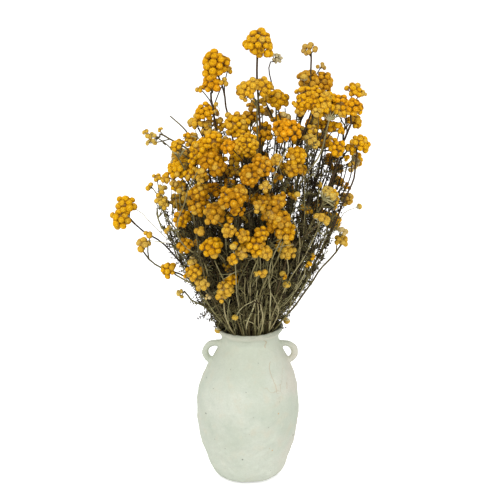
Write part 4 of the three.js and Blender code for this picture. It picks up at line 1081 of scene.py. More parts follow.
def sprig_shape(seed):
    """A dried, curled leaf: a midrib with narrow lobes on both sides."""
    random = Random(seed)
    bm = bmesh.new()
    curl = 0.5 + 0.9 * random.random()
    twist = either_way(random, 1)

    def on_rib(share):
        sideways, height = 0.3 * twist * math.sin(3 * share), share - 0.25 * curl * share**3
        return Vector((0.4 * curl * share**2, sideways, height))

    bmesh.ops.create_cone(bm, cap_ends=True, segments=3, radius1=0.034, radius2=0.016, depth=1)
    cut_across(bm, 1)
    for vert in bm.verts:
        vert.co = on_rib(vert.co.z + 0.5) + Vector((vert.co.x, vert.co.y, 0))
    lobes = 3
    for i in range(lobes):
        for side in (-1, 1):
            share = (i + 0.8 + 0.3 * random.random()) / (lobes + 0.6)
            length = 0.46 * (1.2 - share) * (0.7 + 0.6 * random.random())
            forward = 0.5 * (random.random() - 0.3)
            direction = Vector((forward, side * (0.8 + 0.3 * random.random()), 0.7)).normalized()
            place = Matrix.Translation(on_rib(share) + direction * length * 0.5)
            turn = direction.to_track_quat("Z", "X").to_matrix().to_4x4()
            bmesh.ops.create_cone(bm, cap_ends=True, segments=3, radius1=0.062, radius2=0, depth=length,
                                  matrix=place @ turn)
    return Shape(bm)


def core_shape():
    """The hidden inner buttons of a head as one rough lump. Its low crown mark gives it the shaded side
    colour, painted shade between the buttons.
    """
    bm = bmesh.new()
    bmesh.ops.create_icosphere(bm, subdivisions=2, radius=1)
    return Shape(bm, -0.2)


CORE = core_shape()
BUTTONS = [button_shape(seed) for seed in range(6)]
SPRIGS = [sprig_shape(seed) for seed in range(8)]


# Materials

def paint(code):
    """A colour from its usual six-figure code, in the renderer's even-step values."""
    parts = [int(code[i:i + 2], 16) / 255 for i in (0, 2, 4)]
    return (*[part / 12.92 if part <= 0.04045 else ((part + 0.055) / 1.055) ** 2.4 for part in parts], 1)


class Skin:
    """The nodes of a material or group. A mask or value is a node's output, a number or what rise takes."""

    def __init__(self, tree):
        self.tree, self.colour = tree, None

    @cached_property
    def place(self):
        return self.put("TexCoord").outputs["Object"]

    def feed(self, node, inputs):
        for key, value in inputs.items():
            if isinstance(value, bpy.types.NodeSocket):
                self.tree.links.new(value, node.inputs[key])
            else:
                node.inputs[key].default_value = value

    def put(self, kind, inputs=None, **settings):
        node = self.tree.nodes.new("ShaderNode" + kind)
        for name, value in settings.items():
            setattr(node, name, value)
        self.feed(node, inputs or {})
        return node

    def rise(self, value, start, stop, low=0, high=1):
        """From low to high, softly, as a value goes from start to stop."""
        ends = {0: value, 1: start, 2: stop, 3: low, 4: high}
        return self.put("MapRange", ends, interpolation_type="SMOOTHSTEP").outputs[0]

    def worked(self, operation, *values):
        """The values taken together, one after another."""
        values = [self.rise(*value) if isinstance(value, tuple) else value for value in values]
        result = values[0]
        for value in values[1:]:
            result = self.put("Math", {0: result, 1: value}, operation=operation).outputs[0]
        return result

    def vector(self, operation, first, second, output=0):
        return self.put("VectorMath", {0: first, 1: second}, operation=operation).outputs[output]

    def mark(self, name):
        return self.put("Attribute", attribute_name=name, attribute_type="GEOMETRY").outputs["Fac"]

    def noise(self, scale, detail, output="Fac"):
        return self.put("TexNoise", {"Vector": self.place, "Scale": scale, "Detail": detail}).outputs[output]

    def cells(self, scale, place=None, **settings):
        return self.put("TexVoronoi", {"Vector": place or self.place, "Scale": scale}, **settings).outputs

    def over(self, colour, *masks):
        """Lays a further colour over those so far, where all the masks are up."""
        share = self.worked("MULTIPLY", *masks)
        self.colour = self.put("Mix", {0: share, 6: self.colour, 7: colour}, data_type="RGBA").outputs[2]

    def relief(self, height, strength, distance):
        return self.put("Bump", {"Height": height, "Strength": strength, "Distance": distance}).outputs[0]


def new_material(name):
    """A material, the skin of its tree and its shader."""
    material = bpy.data.materials.new(name)
    material.use_nodes = True
    return material, Skin(material.node_tree), material.node_tree.nodes["Principled BSDF"]


def new_group(name, inputs, kind):
    """The skin, the inputs and the outputs' node of a group that puts out a colour, roughness and normal."""
    group = bpy.data.node_groups.new(name, "ShaderNodeTree")
    outputs = ("Color", "Color"), ("Roughness", "Float"), ("Normal", "Vector")
    sockets = [(socket, kind, "INPUT") for socket in inputs] + [(*output, "OUTPUT") for output in outputs]
    for socket, sort, side in sockets:
        group.interface.new_socket(socket, in_out=side, socket_type="NodeSocket" + sort)
    return Skin(group), group.nodes.new("NodeGroupInput").outputs, group.nodes.new("NodeGroupOutput")


def floret_group():
    """The colour and relief of a button: florets, a paler heart, sides darkened by painted shade and random
    patches, and a straw cup below.
    """
    sockets = ("Petal", "Ripe", "Side", "Heart", "Withered", "Straw", "Cup")
    skin, given, gives = new_group("floret_skin", sockets, "Color")
    crown, shade, faded = skin.mark("crown"), skin.mark("shade"), skin.mark("tone")
    florets = skin.cells(1150.0)["Distance"]
    patches = skin.noise(210.0, 3.0)
    # Painted shade darkens each button's lower sides, more so by the head's painted shade mark, with random
    # patches and tone on top
    painted_shade_and_mottle = skin.worked(
        "ADD",
        (crown, 0.75, -0.05, 0, 0.95),
        (patches, 0.42, 0.75, 0, 0.4),
        (shade, 0.45, 1.0, 0, 0.4),
        skin.mark("painted_shade"),
    )
    skin.colour = given["Petal"]
    for socket, *masks in (
        ("Ripe", (faded, 0.05, -0.7, 0, 0.95)),
        ("Side", (painted_shade_and_mottle, 0, 1.1)),
        ("Heart", (crown, 0.86, 0.99), (shade, 0.8, 0.5, 0, 0.7)),
        ("Withered", (crown, 0.72, 0.93), (shade, 0.93, 0.94, 0, 0.85)),
        ("Straw", (shade, 0.05, 0.02, 0, 0.7), (patches, 0.3, 0.5)),
        ("Straw", (faded, 0, 0.5, 0, 0.85)),
        ("Cup", (faded, 0.4, 1)),
        ("Heart", (florets, 0.32, 0.1, 0, 0.3), (crown, -0.1, 0.5)),
        ("Withered", (florets, 0.36, 0.72, 0, 0.5)),
        ("Cup", (crown, -0.12, -0.44)),
    ):
        skin.over(given[socket], *masks)
    skin.feed(gives, {
        "Color": skin.colour,
        "Roughness": skin.rise(florets, 0, 0.8, 0.72, 0.9),
        "Normal": skin.relief(skin.worked("MULTIPLY", florets, -1.0), 0.55, 0.0005),
    })
    return skin.tree


def stem_group():
    """The colour and relief of stems and leaves, from dark brown to pale tan by the tone mark."""
    skin, given, gives = new_group("dry_skin", ("Warmth",), "Float")
    blotches = skin.noise(90.0, 4.0)
    streaks = skin.noise(900.0, 3.0)
    tone = skin.worked(
        "ADD",
        skin.mark("tone"),
        (blotches, 0.25, 0.75, -0.14, 0.14),
        (streaks, 0.3, 0.7, -0.09, 0.09),
    )
    ramp = skin.put("ValToRGB", {0: tone})
    stops = [(0, "2a1f1a"), (0.25, "463f2c"), (0.5, "6a643f"), (0.75, "918c60"), (1, "bbb286")]
    while len(ramp.color_ramp.elements) < len(stops):
        ramp.color_ramp.elements.new(0.5)
    for element, (position, code) in zip(ramp.color_ramp.elements, stops):
        element.position = position
        element.color = paint(code)
    skin.colour = ramp.outputs[0]
    skin.over(paint("7a5a34"), (skin.mark("shade"), 0.2, 0.9), given["Warmth"])
    skin.feed(gives, {
        "Color": skin.colour,
        "Roughness": skin.rise(streaks, 0.2, 0.8, 0.7, 0.92),
        "Normal": skin.relief(streaks, 0.4, 0.0003),
    })
    return skin.tree


def skinned_material(name, group, values, gloss):
    """A material whose colour, roughness and relief come from a group with this finish's own values."""
    material, skin, shader = new_material(name)
    node = skin.put("Group", node_tree=group)
    skin.feed(node, values)
    skin.feed(shader, {
        "Base Color": node.outputs["Color"],
        "Roughness": node.outputs["Roughness"],
        "Normal": node.outputs["Normal"],
        "Specular IOR Level": gloss,
    })
    return material


# Marks in the glaze at the front, in millimetres: fine lines as (height, x) places with their thickness and
# strength, and specks as (x, y, height, radius, colour, strength).
GLAZE_LINES = [
    ([(148.8, 15.9), (144.5, 17.8), (142.2, 16.9), (139, 17.4)], 0.9, 0.5),
    ([(127.5, 22.1), (121.9, 21.3), (111.2, 24.9), (102.8, 27.7), (98.6, 28.4), (96.6, 33.4)], 0.5, 0.42),
    ([(106, 37.6), (103, 38.2), (99, 38.9)], 0.5, 0.4),
]
GLAZE_SPECKS = [
    (-40.7, -29.5, 74.6, 1.2, "7d8478", 0.8), (-5, -44, 32.2, 1.2, "5c5f52", 0.75),
    (44.7, -17.2, 47.3, 1.2, "5f6054", 0.8), (29.9, -40.3, 78.3, 1, "c79a50", 0.75),
    (24, -39.6, 40.1, 1.1, "c79a50", 0.75), (-1.5, -46, 102.1, 0.8, "858a7c", 0.7),
    (-40.1, -15.9, 106.7, 0.9, "8d9284", 0.6), (-16.4, -32.6, 120.9, 0.7, "8a8a74", 0.6),
    (10.3, -33.2, 127.3, 0.7, "7c8072", 0.6), (5.6, -49.9, 77.7, 0.8, "9a9c88", 0.6),
    (1.6, -49.7, 60.5, 0.8, "a3a493", 0.6), (20.2, -46.1, 66.4, 0.9, "9c9d8a", 0.7),
    (22.5, -31, 15.3, 0.8, "96978a", 0.6), (21.2, -41.8, 42.8, 0.8, "b09c6c", 0.6),
]
# How wide a curve the lines' x is drawn in, how far they stray and by how much that lies off to one side,
# and how little the depth of a speck on the curved wall counts
LINE_SPAN = 50
LINE_STRAYING, LINE_OFFSET = 0.006, -0.003
SPECK_DEPTH = 0.35


def glaze_line(glaze, across, height, wander, line, thickness):
    """A fine line over the front of the vase, whose x is drawn as a curve over its height."""
    low, high = line[-1][0], line[0][0]
    share = glaze.put("MapRange", {0: height, 1: low * MM, 2: high * MM}).outputs[0]
    curve = glaze.put("FloatCurve", {1: share})
    points = curve.mapping.curves[0].points
    places = sorted(((level - low) / (high - low), x / LINE_SPAN) for level, x in line)
    while len(points) < len(places):
        points.new(0.5, 0.5)
    for point, place in zip(points, places):
        point.location = place
    curve.mapping.update()
    strayed = glaze.put("SeparateColor", {0: wander}).outputs[0]
    middle = 0.0
    for value, factor in ((curve.outputs[0], LINE_SPAN * MM), (strayed, LINE_STRAYING)):
        middle = glaze.put("Math", {0: value, 1: factor, 2: middle}, operation="MULTIPLY_ADD").outputs[0]
    away = glaze.worked("ABSOLUTE", glaze.worked("SUBTRACT", across, middle, LINE_OFFSET), 0.0)
    above, below = (height, low * MM, (low + 1) * MM), (height, high * MM, (high - 1) * MM)
    inside = glaze.worked("MULTIPLY", above, below)
    return glaze.worked("MULTIPLY", (away, thickness * MM, thickness * MM * 0.3), inside)


def stoneware_material():
    """Matte glaze of a pale grey green, with specks, fine cracks, a warmer tint where it ran thin, painted
    shade under the rim and painted light at the foot.
    """
    material, glaze, shader = new_material("pale_stoneware")
    across, back, height = glaze.put("SeparateXYZ", {0: glaze.place}).outputs
    clouds = glaze.noise(22.0, 5.0)
    grain = glaze.noise(650.0, 4.0)
    mottle = glaze.noise(95.0, 4.0)
    ripples = glaze.noise(130.0, 3.0)
    wander = glaze.noise(60.0, 5.0, "Color")

    # The broad tints: the body's own, painted shade on the neck, painted light at the foot, the right side
    # and the lip
    glaze.colour = paint("c3cab9")
    for code, *masks in (
        ("d1d5c7", (clouds, 0.32, 0.68)),
        ("d0cbb6", (mottle, 0.5, 0.74, 0, 0.5)),
        ("bcc5b6", (mottle, 0.5, 0.28, 0, 0.4)),
        # Painted shade on the neck, under the rim
        ("bec3b1", (height, 0.096, 0.142, 0, 0.55)),
        # Painted light at the foot, as from the floor
        ("dbe0d2", (height, 0.062, 0.018, 0, 0.5)),
        ("d2c9bb", (clouds, 0.42, 0.62), (across, 0.02, 0.052, 0, 0.7)),
        ("cbbfae", (height, 0.145, 0.1535), (clouds, 0.35, 0.6, 0.1, 0.6)),
        ("b4baa6", (grain, 0.35, 0.72, 0, 0.22)),
    ):
        glaze.over(paint(code), *masks)

    # Dark and rusty specks in a few of many small cells
    for code, scale, part, (wide, narrow), rarity, strength in (
        ("6f6a58", 95.0, 0, (0.062, 0.03), (0.8, 0.81), 0.75),
        ("c9a25e", 60.0, 1, (0.055, 0.025), (0.86, 0.87), 0.7),
    ):
        specks = glaze.cells(scale)
        chosen = glaze.put("SeparateColor", {0: specks["Color"]}).outputs[part]
        glaze.over(paint(code), (specks["Distance"], wide, narrow), (chosen, *rarity), strength)

    # The crest of the lip: a darker band that is partly painted shade from the mouth and the leaves over it,
    # and pits
    crest = glaze.rise(height, 0.1498, 0.153)
    glaze.over(paint("a3a896"), crest, (mottle, 0.34, 0.6, 0.3, 0.85))
    glaze.over(paint("7f8475"), (glaze.cells(620.0)["Distance"], 0.3, 0.12), crest, 0.7)

    # Fine cracks on the right shoulder, and the single lines and specks of the front
    bent = glaze.vector("ADD", glaze.place, glaze.vector("MULTIPLY", wander, (0.016, 0.016, 0.016)))
    cracks = glaze.cells(24.0, bent, feature="DISTANCE_TO_EDGE")["Distance"]
    off = glaze.vector("DISTANCE", glaze.place, (0.03, -0.036, 0.112), "Value")
    crazed = glaze.worked("MULTIPLY", (cracks, 0.007, 0.002), (off, 0.024, 0.012))
    glaze.over(paint("b9a27e"), crazed, 0.45)
    front = glaze.rise(back, -0.004, -0.01)
    for line, thickness, strength in GLAZE_LINES:
        seam = glaze_line(glaze, across, height, wander, line, thickness)
        glaze.over(paint("b39468"), seam, glaze.worked("MULTIPLY", front, strength))
    squeezed = glaze.vector("MULTIPLY", glaze.place, (1, SPECK_DEPTH, 1))
    for x, y, z, radius, code, strength in GLAZE_SPECKS:
        away = glaze.vector("DISTANCE", squeezed, (x * MM, SPECK_DEPTH * y * MM, z * MM), "Value")
        glaze.over(paint(code), (away, radius * MM, radius * MM * 0.35, 0, strength), front)

    waves, roughness = glaze.worked("MULTIPLY", ripples, 1.7), glaze.worked("MULTIPLY", grain, 0.22)
    uneven = glaze.worked("ADD", waves, roughness)
    uneven = glaze.worked("SUBTRACT", uneven, glaze.worked("MULTIPLY", crazed, 0.4))
    glaze.feed(shader, {
        "Base Color": glaze.colour,
        "Roughness": glaze.rise(grain, 0.3, 0.7, 0.62, 0.8),
        "Normal": glaze.relief(uneven, 0.5, 0.0008),
        "Specular IOR Level": 0.3,
    })
    return material


floret_skin = floret_group()
dry_skin = stem_group()
FLORETS = {
    tone: skinned_material(
        f"{tone}_florets",
        floret_skin,
        {"Petal": paint(petal), "Ripe": paint(ripe), "Side": paint(side), "Heart": paint(heart),
         "Withered": paint(withered), "Straw": paint(straw), "Cup": paint(cup)},
        0.08,
    )
    # The side colour is painted shade, for the buttons' lower sides and the hidden cores
    for tone, petal, ripe, side, heart, withered, straw, cup in (
        ("gold", "f7b90b", "f4a408", "be830e", "fdd34e", "6c430e", "e2bb4c", "ddd3a6"),
        ("ochre", "ecab16", "e6990e", "b07812", "f6c846", "684010", "d2ab4c", "c6b680"),
        ("straw", "eebb28", "eaa81e", "c4932a", "f8dc78", "82622a", "dfc05c", "ddd3a6"),
    )
}
stalk_material = skinned_material("dry_stems", dry_skin, {"Warmth": 0.25}, 0.2)
leaf_material = skinned_material("dry_leaves", dry_skin, {"Warmth": 0.1}, 0.15)


# Pieces

def finish_piece(piece, slot, *nodes):
    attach(piece, BODY)
    if nodes:
        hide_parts(*nodes)


def settle_buttons(head, random):
    """Directions and reaches for a head's buttons, spread over its dome until they no longer crowd."""
    cap, _, _, fullness = head.form
    size = min(head.button or BUTTON_BASE + BUTTON_GROWTH * head.radius, 0.6 * head.radius)
    reach = head.radius - BUTTON_SINK * size
    count = max(3, round(fullness * 2 * (1 - math.cos(cap)) * (reach / size) ** 2))
    spots = []
    spin = random.random() * 2 * math.pi
    for i in range(count):
        height = 1 - (i + 0.5) / count * (1 - math.cos(cap))
        turn = spin + i * math.pi * (3 - math.sqrt(5))
        flat = math.sqrt(1 - height * height)
        spot = Vector((flat * math.cos(turn), flat * math.sin(turn), height))
        spots.append(spot + Vector([either_way(random, 0.5) for _ in range(3)]))
    least = BUTTON_SPACING * size / reach
    for _ in range(SETTLE_PASSES):
        for i, spot in enumerate(spots):
            for other in spots[:i]:
                between = spot - other
                if 1e-6 < between.length < least:
                    between.length = (least - between.length) * SETTLE_SHARE
                    spot += between
                    other -= between
        for spot in spots:
            spot.z = max(spot.z, math.cos(cap) - 0.08)
            spot.normalize()
    return size, reach, spots


def painted_shade_of(head):
    """How much painted shade darkens the sides of a head's buttons, most for those low in front; those
    behind get painted light.
    """
    forward, height = -head.centre.y, head.centre.z
    lowness = PAINTED_SHADE_AT_FOOT + (1 - PAINTED_SHADE_AT_FOOT) * ease(height, *PAINTED_SHADE_FROM)
    painted_darkening = PAINTED_SHADE_MOST * ease(forward, *PAINTED_SHADE_FORWARD) * lowness * (1 - ease(height, *PAINTED_SHADE_TO))
    painted_brightening = PAINTED_LIGHT_MOST * (1 - ease(forward, *PAINTED_LIGHT_BEHIND)) * (1 - ease(height, *PAINTED_LIGHT_BELOW))
    return painted_darkening - painted_brightening


def add_head(pile, head, random):
    """The buttons of a head, each on its own stalk from the hub, over a core of those that are hidden."""
    size, reach, spots = settle_buttons(head, random)
    flatness = head.form[1]
    frame_turn = upright_turn(head.axis, random)
    fan = head.centre - head.axis * 0.75 * head.radius
    fading = head.faded or random.uniform(-0.3, 0.35)
    # Painted shade on the sides of this head's buttons, or painted light where the head is behind
    painted_shade = painted_shade_of(head)
    # Stalks under fans stay pale; under other heads they are toned darker, which is painted shade
    stalk_tone_and_shade = 0.8 if head.form is FORMS["fan"] else 0.5
    lumps = random_place(random, 100)
    for spot in spots:
        own = size * (1 + either_way(random, BUTTON_UNLIKENESS))
        out = reach * (1 + either_way(random, BUTTON_STRAYING) + LUMPINESS * noise.noise(spot * 1.3 + lumps))
        centre = head.centre + frame_turn @ Vector((spot.x * out, spot.y * out, spot.z * out * flatness))
        facing = (centre - fan).normalized()
        shape = random.choice(BUTTONS)
        turn = upright_turn(facing, random)
        faded = clamp(fading + either_way(random, FADING_UNLIKENESS), -1, 1)
        pile.add(shape, placed(shape, centre, turn, own), BLOOM, random.random(), faded, painted_shade)
        foot = centre - facing * 0.8 * own
        middle = head.hub.lerp(foot, 0.5) + head.axis * 0.12 * head.radius
        stalk = smooth_path([head.hub.copy(), middle, foot], 100)
        pile.limb(stalk, STEMS["button"], random.random(), stalk_tone_and_shade + 0.2 * random.random())
    # A core in the shaded side colour: painted shade in the gaps between the buttons
    if head.form in (FORMS["dome"], FORMS["ball"]) and head.radius > 5:
        core = placed(CORE, (0, 0, 0), Matrix.Diagonal((1, 1, flatness)), CORE_SHARE * reach)
        core = core @ np.array(frame_turn).T + np.array(head.centre)
        pile.add(CORE, core, BLOOM, 0.9, fading)


def add_inner_head(pile, place, random):
    """A small head at the end of a thin stem, between the larger ones."""
    radius = random.uniform(*INNER_RADIUS)
    axis = head_axis(place)
    head = Head(place + axis * FORMS["dome"][2] * radius, radius, axis, place)
    add_head(pile, head, random)


def make_heads(spray, order):
    random = Random(HEAD_SEED + order)
    pile = Pile()
    for head in spray.heads:
        add_head(pile, head, random)
    piece = pile.make(f"blooms_{spray.name}", FLORETS[spray.tone], stalk_material)
    finish_piece(piece, f"{spray.tone}_florets", f"heads_{spray.name}")


def bareness(turn):
    """How bare the stems stand in the mouth of the vase: most of all at the front right."""
    return BARENESS * max(0, math.cos(turn - BARE_TURN))


def add_sprigs(pile, path, crowd, density, random, further=0):
    """Curled leaves along a stem. Further is how far they may stand out past the bouquet's leafy part."""
    carried = 0.0
    for low, high in zip(path, path[1:]):
        carried += (high - low).length
        if carried < SPRIG_SPACING:
            continue
        carried = 0.0
        if low.z < SPRIG_LOW or random.random() > density * (1 - ease(low.z, SPRIG_FULL, SPRIG_HIGH)):
            continue
        if low.z < BARE_UP_TO and random.random() < bareness(turn_of(low)):
            continue
        foot = low.lerp(high, random.random())
        if distance_out(foot) > leafy_reach(foot.z) + further:
            continue
        along = (high - low).normalized()
        sideways = random_step(random, 1) + way_out(foot).normalized() * 0.4
        sideways = (sideways - along * sideways.dot(along)).normalized()
        direction = (sideways * (0.7 + 0.5 * random.random()) + along * 0.8).normalized()
        length = random.uniform(*SPRIG_LENGTH)
        tip = foot + direction * length
        if distance_out(tip) > 1.06 * leafy_reach(tip.z) + 2 + further:
            continue
        if not crowd.free(tip, SPRIG_CLEAR) or not crowd.free(foot.lerp(tip, 0.5), SPRIG_CLEAR):
            continue
        # Painted shade: the further in the leaf grows, the darker its tone
        depth = 0.3 + 0.7 * min(1, distance_out(foot) / (PAINTED_SHADE_WITHIN * leafy_reach(foot.z)))
        pile.leaf(foot, direction, length, depth, random)


def add_tendril(pile, path, random):
    """A thin curly thread that leaves a stem."""
    leafy = [i for i in range(1, len(path) - 1) if SPRIG_LOW < path[i].z < TENDRIL_TOP]
    if not leafy:
        return
    joint = random.choice(leafy)
    along = (path[joint + 1] - path[joint]).normalized()
    outward = way_out(path[joint]).normalized()
    direction = (along + outward * 0.7 + random_step(random, 0.6)).normalized()
    bending = random_step(random, 0.35)
    places = [path[joint].copy()]
    for _ in range(7 + int(6 * random.random())):
        bending += random_step(random, 0.14)
        direction = (direction + bending * 0.55).normalized()
        places.append(places[-1] + direction * TENDRIL_STEP)
        if distance_out(places[-1]) > leafy_reach(places[-1].z) or places[-1].z < SPRIG_LOW + 2:
            break
    if len(places) > 3:
        pile.limb(places, STEMS["tendril"], random.random(), 0.55 + 0.45 * random.random())


def add_pale_stalk(pile, sector, crowd, random):
    """A long bare stalk that arches up over the outside of the leafy part."""
    turn = turn_in(sector, random.random() - 0.5)
    top = random.uniform(*PALE_TOP)
    share = 0.82 + 0.2 * random.random()
    flat = leafy_share(share, turn)
    drift = either_way(random, 0.5)
    low, high = PALE_DRIFT
    places = [around(turn, 17 * drawn_back(turn, 147), 147),
              around(turn, leafy_reach(GATE_HEIGHT) * share * drawn_back(turn, low), low)]
    for level in LEAFY_LEVELS:
        if level < top - 9:
            reach = leafy_reach(level) * flat * drawn_back(turn, level)
            places.append(around(turn + drift * ease(level, low, high), reach, level))
    places.append(around(turn + drift * ease(top, low, high), leafy_reach(top) * (flat - 0.1), top))
    path = crowd.cut_short(sway(smooth_path(places, 6), SWAY_OF_PALE, random), PALE_CLEAR)
    if len(path) > 5:
        pile.limb(path, STEMS["pale"], random.random(), 0.68 + 0.32 * random.random())


def add_collar(pile, sector, random):
    """Leaves that lie over the rim of the vase, most of them at the front left."""
    for _ in range(COLLAR_SPRIGS // SECTORS):
        turn = turn_in(sector, random.random() - 0.5)
        fullness = COLLAR_LEAST + (1 - COLLAR_LEAST) * max(0, math.cos(turn - COLLAR_TURN)) ** 0.8
        if random.random() > fullness * (1 - 0.8 * bareness(turn)):
            continue
        foot = around(turn, 19 + 9 * random.random(), 155.5 + 5 * random.random())
        outward = Vector((math.cos(turn), math.sin(turn), 0))
        direction = outward + UP * (0.9 * random.random() - 0.25) + random_step(random, 0.4)
        direction.normalize()
        length = random.uniform(*COLLAR_LENGTH)
        tip = foot + direction * length
        if math.sin(turn) < -0.25 and (tip.z < COLLAR_LOWEST or distance_out(tip) > COLLAR_REACH):
            continue
        pile.leaf(foot, direction, length, 1, random)


def stem_tone(spray, random):
    if spray.name in DARK_STEMS:
        return 0.05 + 0.1 * random.random()
    if spray.heads[0].centre.z > HIGH_HEADS:
        return 0.12 + 0.45 * random.random()
    return 0.3 + 0.5 * random.random()


def add_branch(pile, spray, main, tone, crowd, random):
    """The stem of a spray's first head, and those of its further ones, down to where they leave it."""
    size = "stout" if spray.name in STOUT_STEMS else "shown" if (spray.name, 0) in STEM_WAYS else "branch"
    pile.limb(main, STEMS[size], random.random(), tone)
    add_sprigs(pile, main, crowd, 0.9, random)
    stems = {spray.heads[0]: main}
    for i, head in enumerate(spray.heads[1:], 1):
        way = STEM_WAYS.get((spray.name, i))
        if way or (head.centre - head.carrier.centre).length > TWIG_REACH:
            side = seen_side_path(head, way, main, random) if way else side_path(head, main, crowd, random)
            size, paling = ("dark_side", 0) if way and spray.name in DARK_STEMS else ("side", SIDE_PALING)
            pile.limb(side, STEMS[size], random.random(), clamp(tone + paling * random.random(), 0, 1))
            add_sprigs(pile, side, crowd, 0.8, random)
        else:
            side = twig_path(head, stems[head.carrier], random)
            shade, paling = random.random(), SIDE_PALING * random.random()
            pile.limb(side, STEMS["twig"], shade, clamp(tone + paling, 0, 1))
        stems[head] = side


def add_filler(pile, blooms, path, crowd, random):
    """A thin leafy stem, some with a tendril, and some of those deep inside with a small head."""
    reach = leafy_reach(path[-1].z)
    # Painted shade: the further in the stem ends, the darker its tone
    depth = 0.4 + 0.6 * min(1, distance_out(path[-1]) / (PAINTED_SHADE_WITHIN * reach))
    pile.limb(path, STEMS["filler"], random.random(), depth * (0.1 + 0.6 * random.random() ** 1.5))
    add_sprigs(pile, path, crowd, 1.0, random)
    if random.random() < TENDRILS:
        add_tendril(pile, path, random)
    inside = distance_out(path[-1]) < INNER_REACH * reach and INNER_LOW < path[-1].z < INNER_HIGH
    if inside and random.random() < INNER_HEADS:
        add_inner_head(blooms, path[-1], random)


def make_stalks(sector, sprays, crowd):
    random = Random(STALK_SEED + sector)
    pile, blooms = Pile(), Pile()
    carried = [spray for spray in sprays if sector_of(spray.heads[0].root) == sector]
    carried.sort(key=lambda spray: turn_from(sector, turn_of(spray.heads[0].root)))
    for order, spray in enumerate(carried):
        tone = stem_tone(spray, random)
        main = branch_path(spray, sector, order, len(carried), crowd, random)
        add_branch(pile, spray, main, tone, crowd, random)
    for order in range(FILLERS):
        path = filler_path(sector, order, crowd, random)
        if len(path) > 4:
            add_filler(pile, blooms, path, crowd, random)
    for _ in range(PALE_STALKS):
        add_pale_stalk(pile, sector, crowd, random)
    add_collar(pile, sector, random)
    name = SECTOR_NAMES[sector]
    finish_piece(blooms.make(f"blooms_inside_{name}", FLORETS["gold"], stalk_material), "gold_florets")
    stalks = pile.make(f"stalks_{name}", FLORETS["straw"], stalk_material, leaf_material)
    finish_piece(stalks, "dry_stem", f"stems_{name}")


def make_loose_twigs(crowd):
    random = Random(TWIG_SEED)
    pile = Pile()
    for tone, thickness, bud, *places in LOOSE_TWIGS:
        path = smooth_path([seen_place(*place) for place in places], LOOSE_SPACING)
        path = sway(path, SWAY_OF_LOOSE, random)[::-1]
        pile.limb(path, (thickness / 2, thickness * 0.36, 5), random.random(), TONES[tone])
        if thickness > 1:
            add_sprigs(pile, path, crowd, 0.35, random)
        if bud:
            facing = (path[-1] - path[-2]).normalized()
            shape = random.choice(BUTTONS)
            turn = upright_turn(facing, random)
            centre = path[-1] + facing * 0.5 * bud
            pile.add(shape, placed(shape, centre, turn, bud), BLOOM, random.random(), 0.3)
    for twigs, spacing, amount, size, further in (
        (LEAFY_TWIGS, LEAFY_SPACING, SWAY_OF_LOOSE, "leafy", 0),
        (FRINGE_TWIGS, FRINGE_SPACING, SWAY_OF_TWIGS, "fringe", FRINGE_REACH),
    ):
        for places in twigs:
            path = sway(smooth_path(seen_path(places), spacing), amount, random)
            pile.limb(path, STEMS[size], random.random(), 0.12)
            add_sprigs(pile, path, crowd, 2, random, further)
    for hub, *ends in FANS:
        hub = seen_place(*hub)
        for place in ends:
            end = seen_place(*place)
            middle = hub.lerp(end, 0.5) + UP * 0.6
            pile.limb([hub, middle, end], STEMS["fan"], random.random(), 0.88)
    piece = pile.make("loose_twigs", FLORETS["straw"], stalk_material, leaf_material)
    finish_piece(piece, "dry_stem")


def vase_blank():
    """The body as a spun outline with a wall, and the two handles as bent tubes sunk into it."""
    bm = bmesh.new()
    outer = smooth_path([Vector((radius, 0, height)) for radius, height in VASE_OUTLINE], 1.6)
    lip = [
        Vector((LIP_CENTRE[0] + LIP_RADIUS * math.cos(turn), 0, LIP_CENTRE[1] + LIP_RADIUS * math.sin(turn)))
        for turn in (math.radians(degrees) for degrees in range(-10, 176, 15))
    ]
    inner = smooth_path([Vector((radius, 0, height)) for radius, height in INNER_OUTLINE], 3)
    profile = [Vector((0, 0, 0)), *outer, *lip, *inner, Vector((0, 0, FLOOR_HEIGHT))]
    verts = [bm.verts.new(point) for point in profile]
    edges = [bm.edges.new(pair) for pair in zip(verts, verts[1:])]
    bmesh.ops.spin(bm, geom=[*verts, *edges], cent=(0, 0, 0), axis=(0, 0, 1), angle=2 * math.pi,
                   steps=VASE_STEPS, use_merge=True)
    bmesh.ops.remove_doubles(bm, verts=bm.verts, dist=0.01)
    for vert in bm.verts:
        tilt = ease(vert.co.z, *RIM_TILT_HEIGHTS)
        vert.co.z += tilt * (RIM_TILT_SIDE * vert.co.x + RIM_TILT_FRONT * vert.co.y)
        vert.co.x += neck_shift(vert.co.z)
    for side in (-1, 1):
        add_handle(bm, side)
    bmesh.ops.recalc_face_normals(bm, faces=bm.faces)
    bmesh.ops.scale(bm, verts=bm.verts, vec=(MM, MM, MM))
    return bm


def add_handle(bm, side):
    neck = neck_shift(HANDLE_UP)
    centre = Vector((neck + side * HANDLE_OUT, 0, HANDLE_UP))
    start = Vector((neck + side * HANDLE_ROOT, 0, HANDLE_UP + HANDLE_RADIUS - HANDLE_RISE))
    arc = [
        centre + Vector((side * math.cos(turn), 0, math.sin(turn))) * HANDLE_RADIUS
        for turn in (math.pi / 2 - HANDLE_TURN * i / 8 for i in range(9))
    ]
    path = smooth_path([start, *arc], 1.2)
    loop = tube(16, len(path) - 1)
    points = bend(loop, path, [HANDLE_THICKNESS / 2] * len(path)) * (1, HANDLE_WIDTH / HANDLE_THICKNESS, 1)
    mesh = bpy.data.meshes.new("handle")
    mesh.from_pydata(points.tolist(), [], loop.triangles.tolist())
    bm.from_mesh(mesh)
    bpy.data.meshes.remove(mesh)


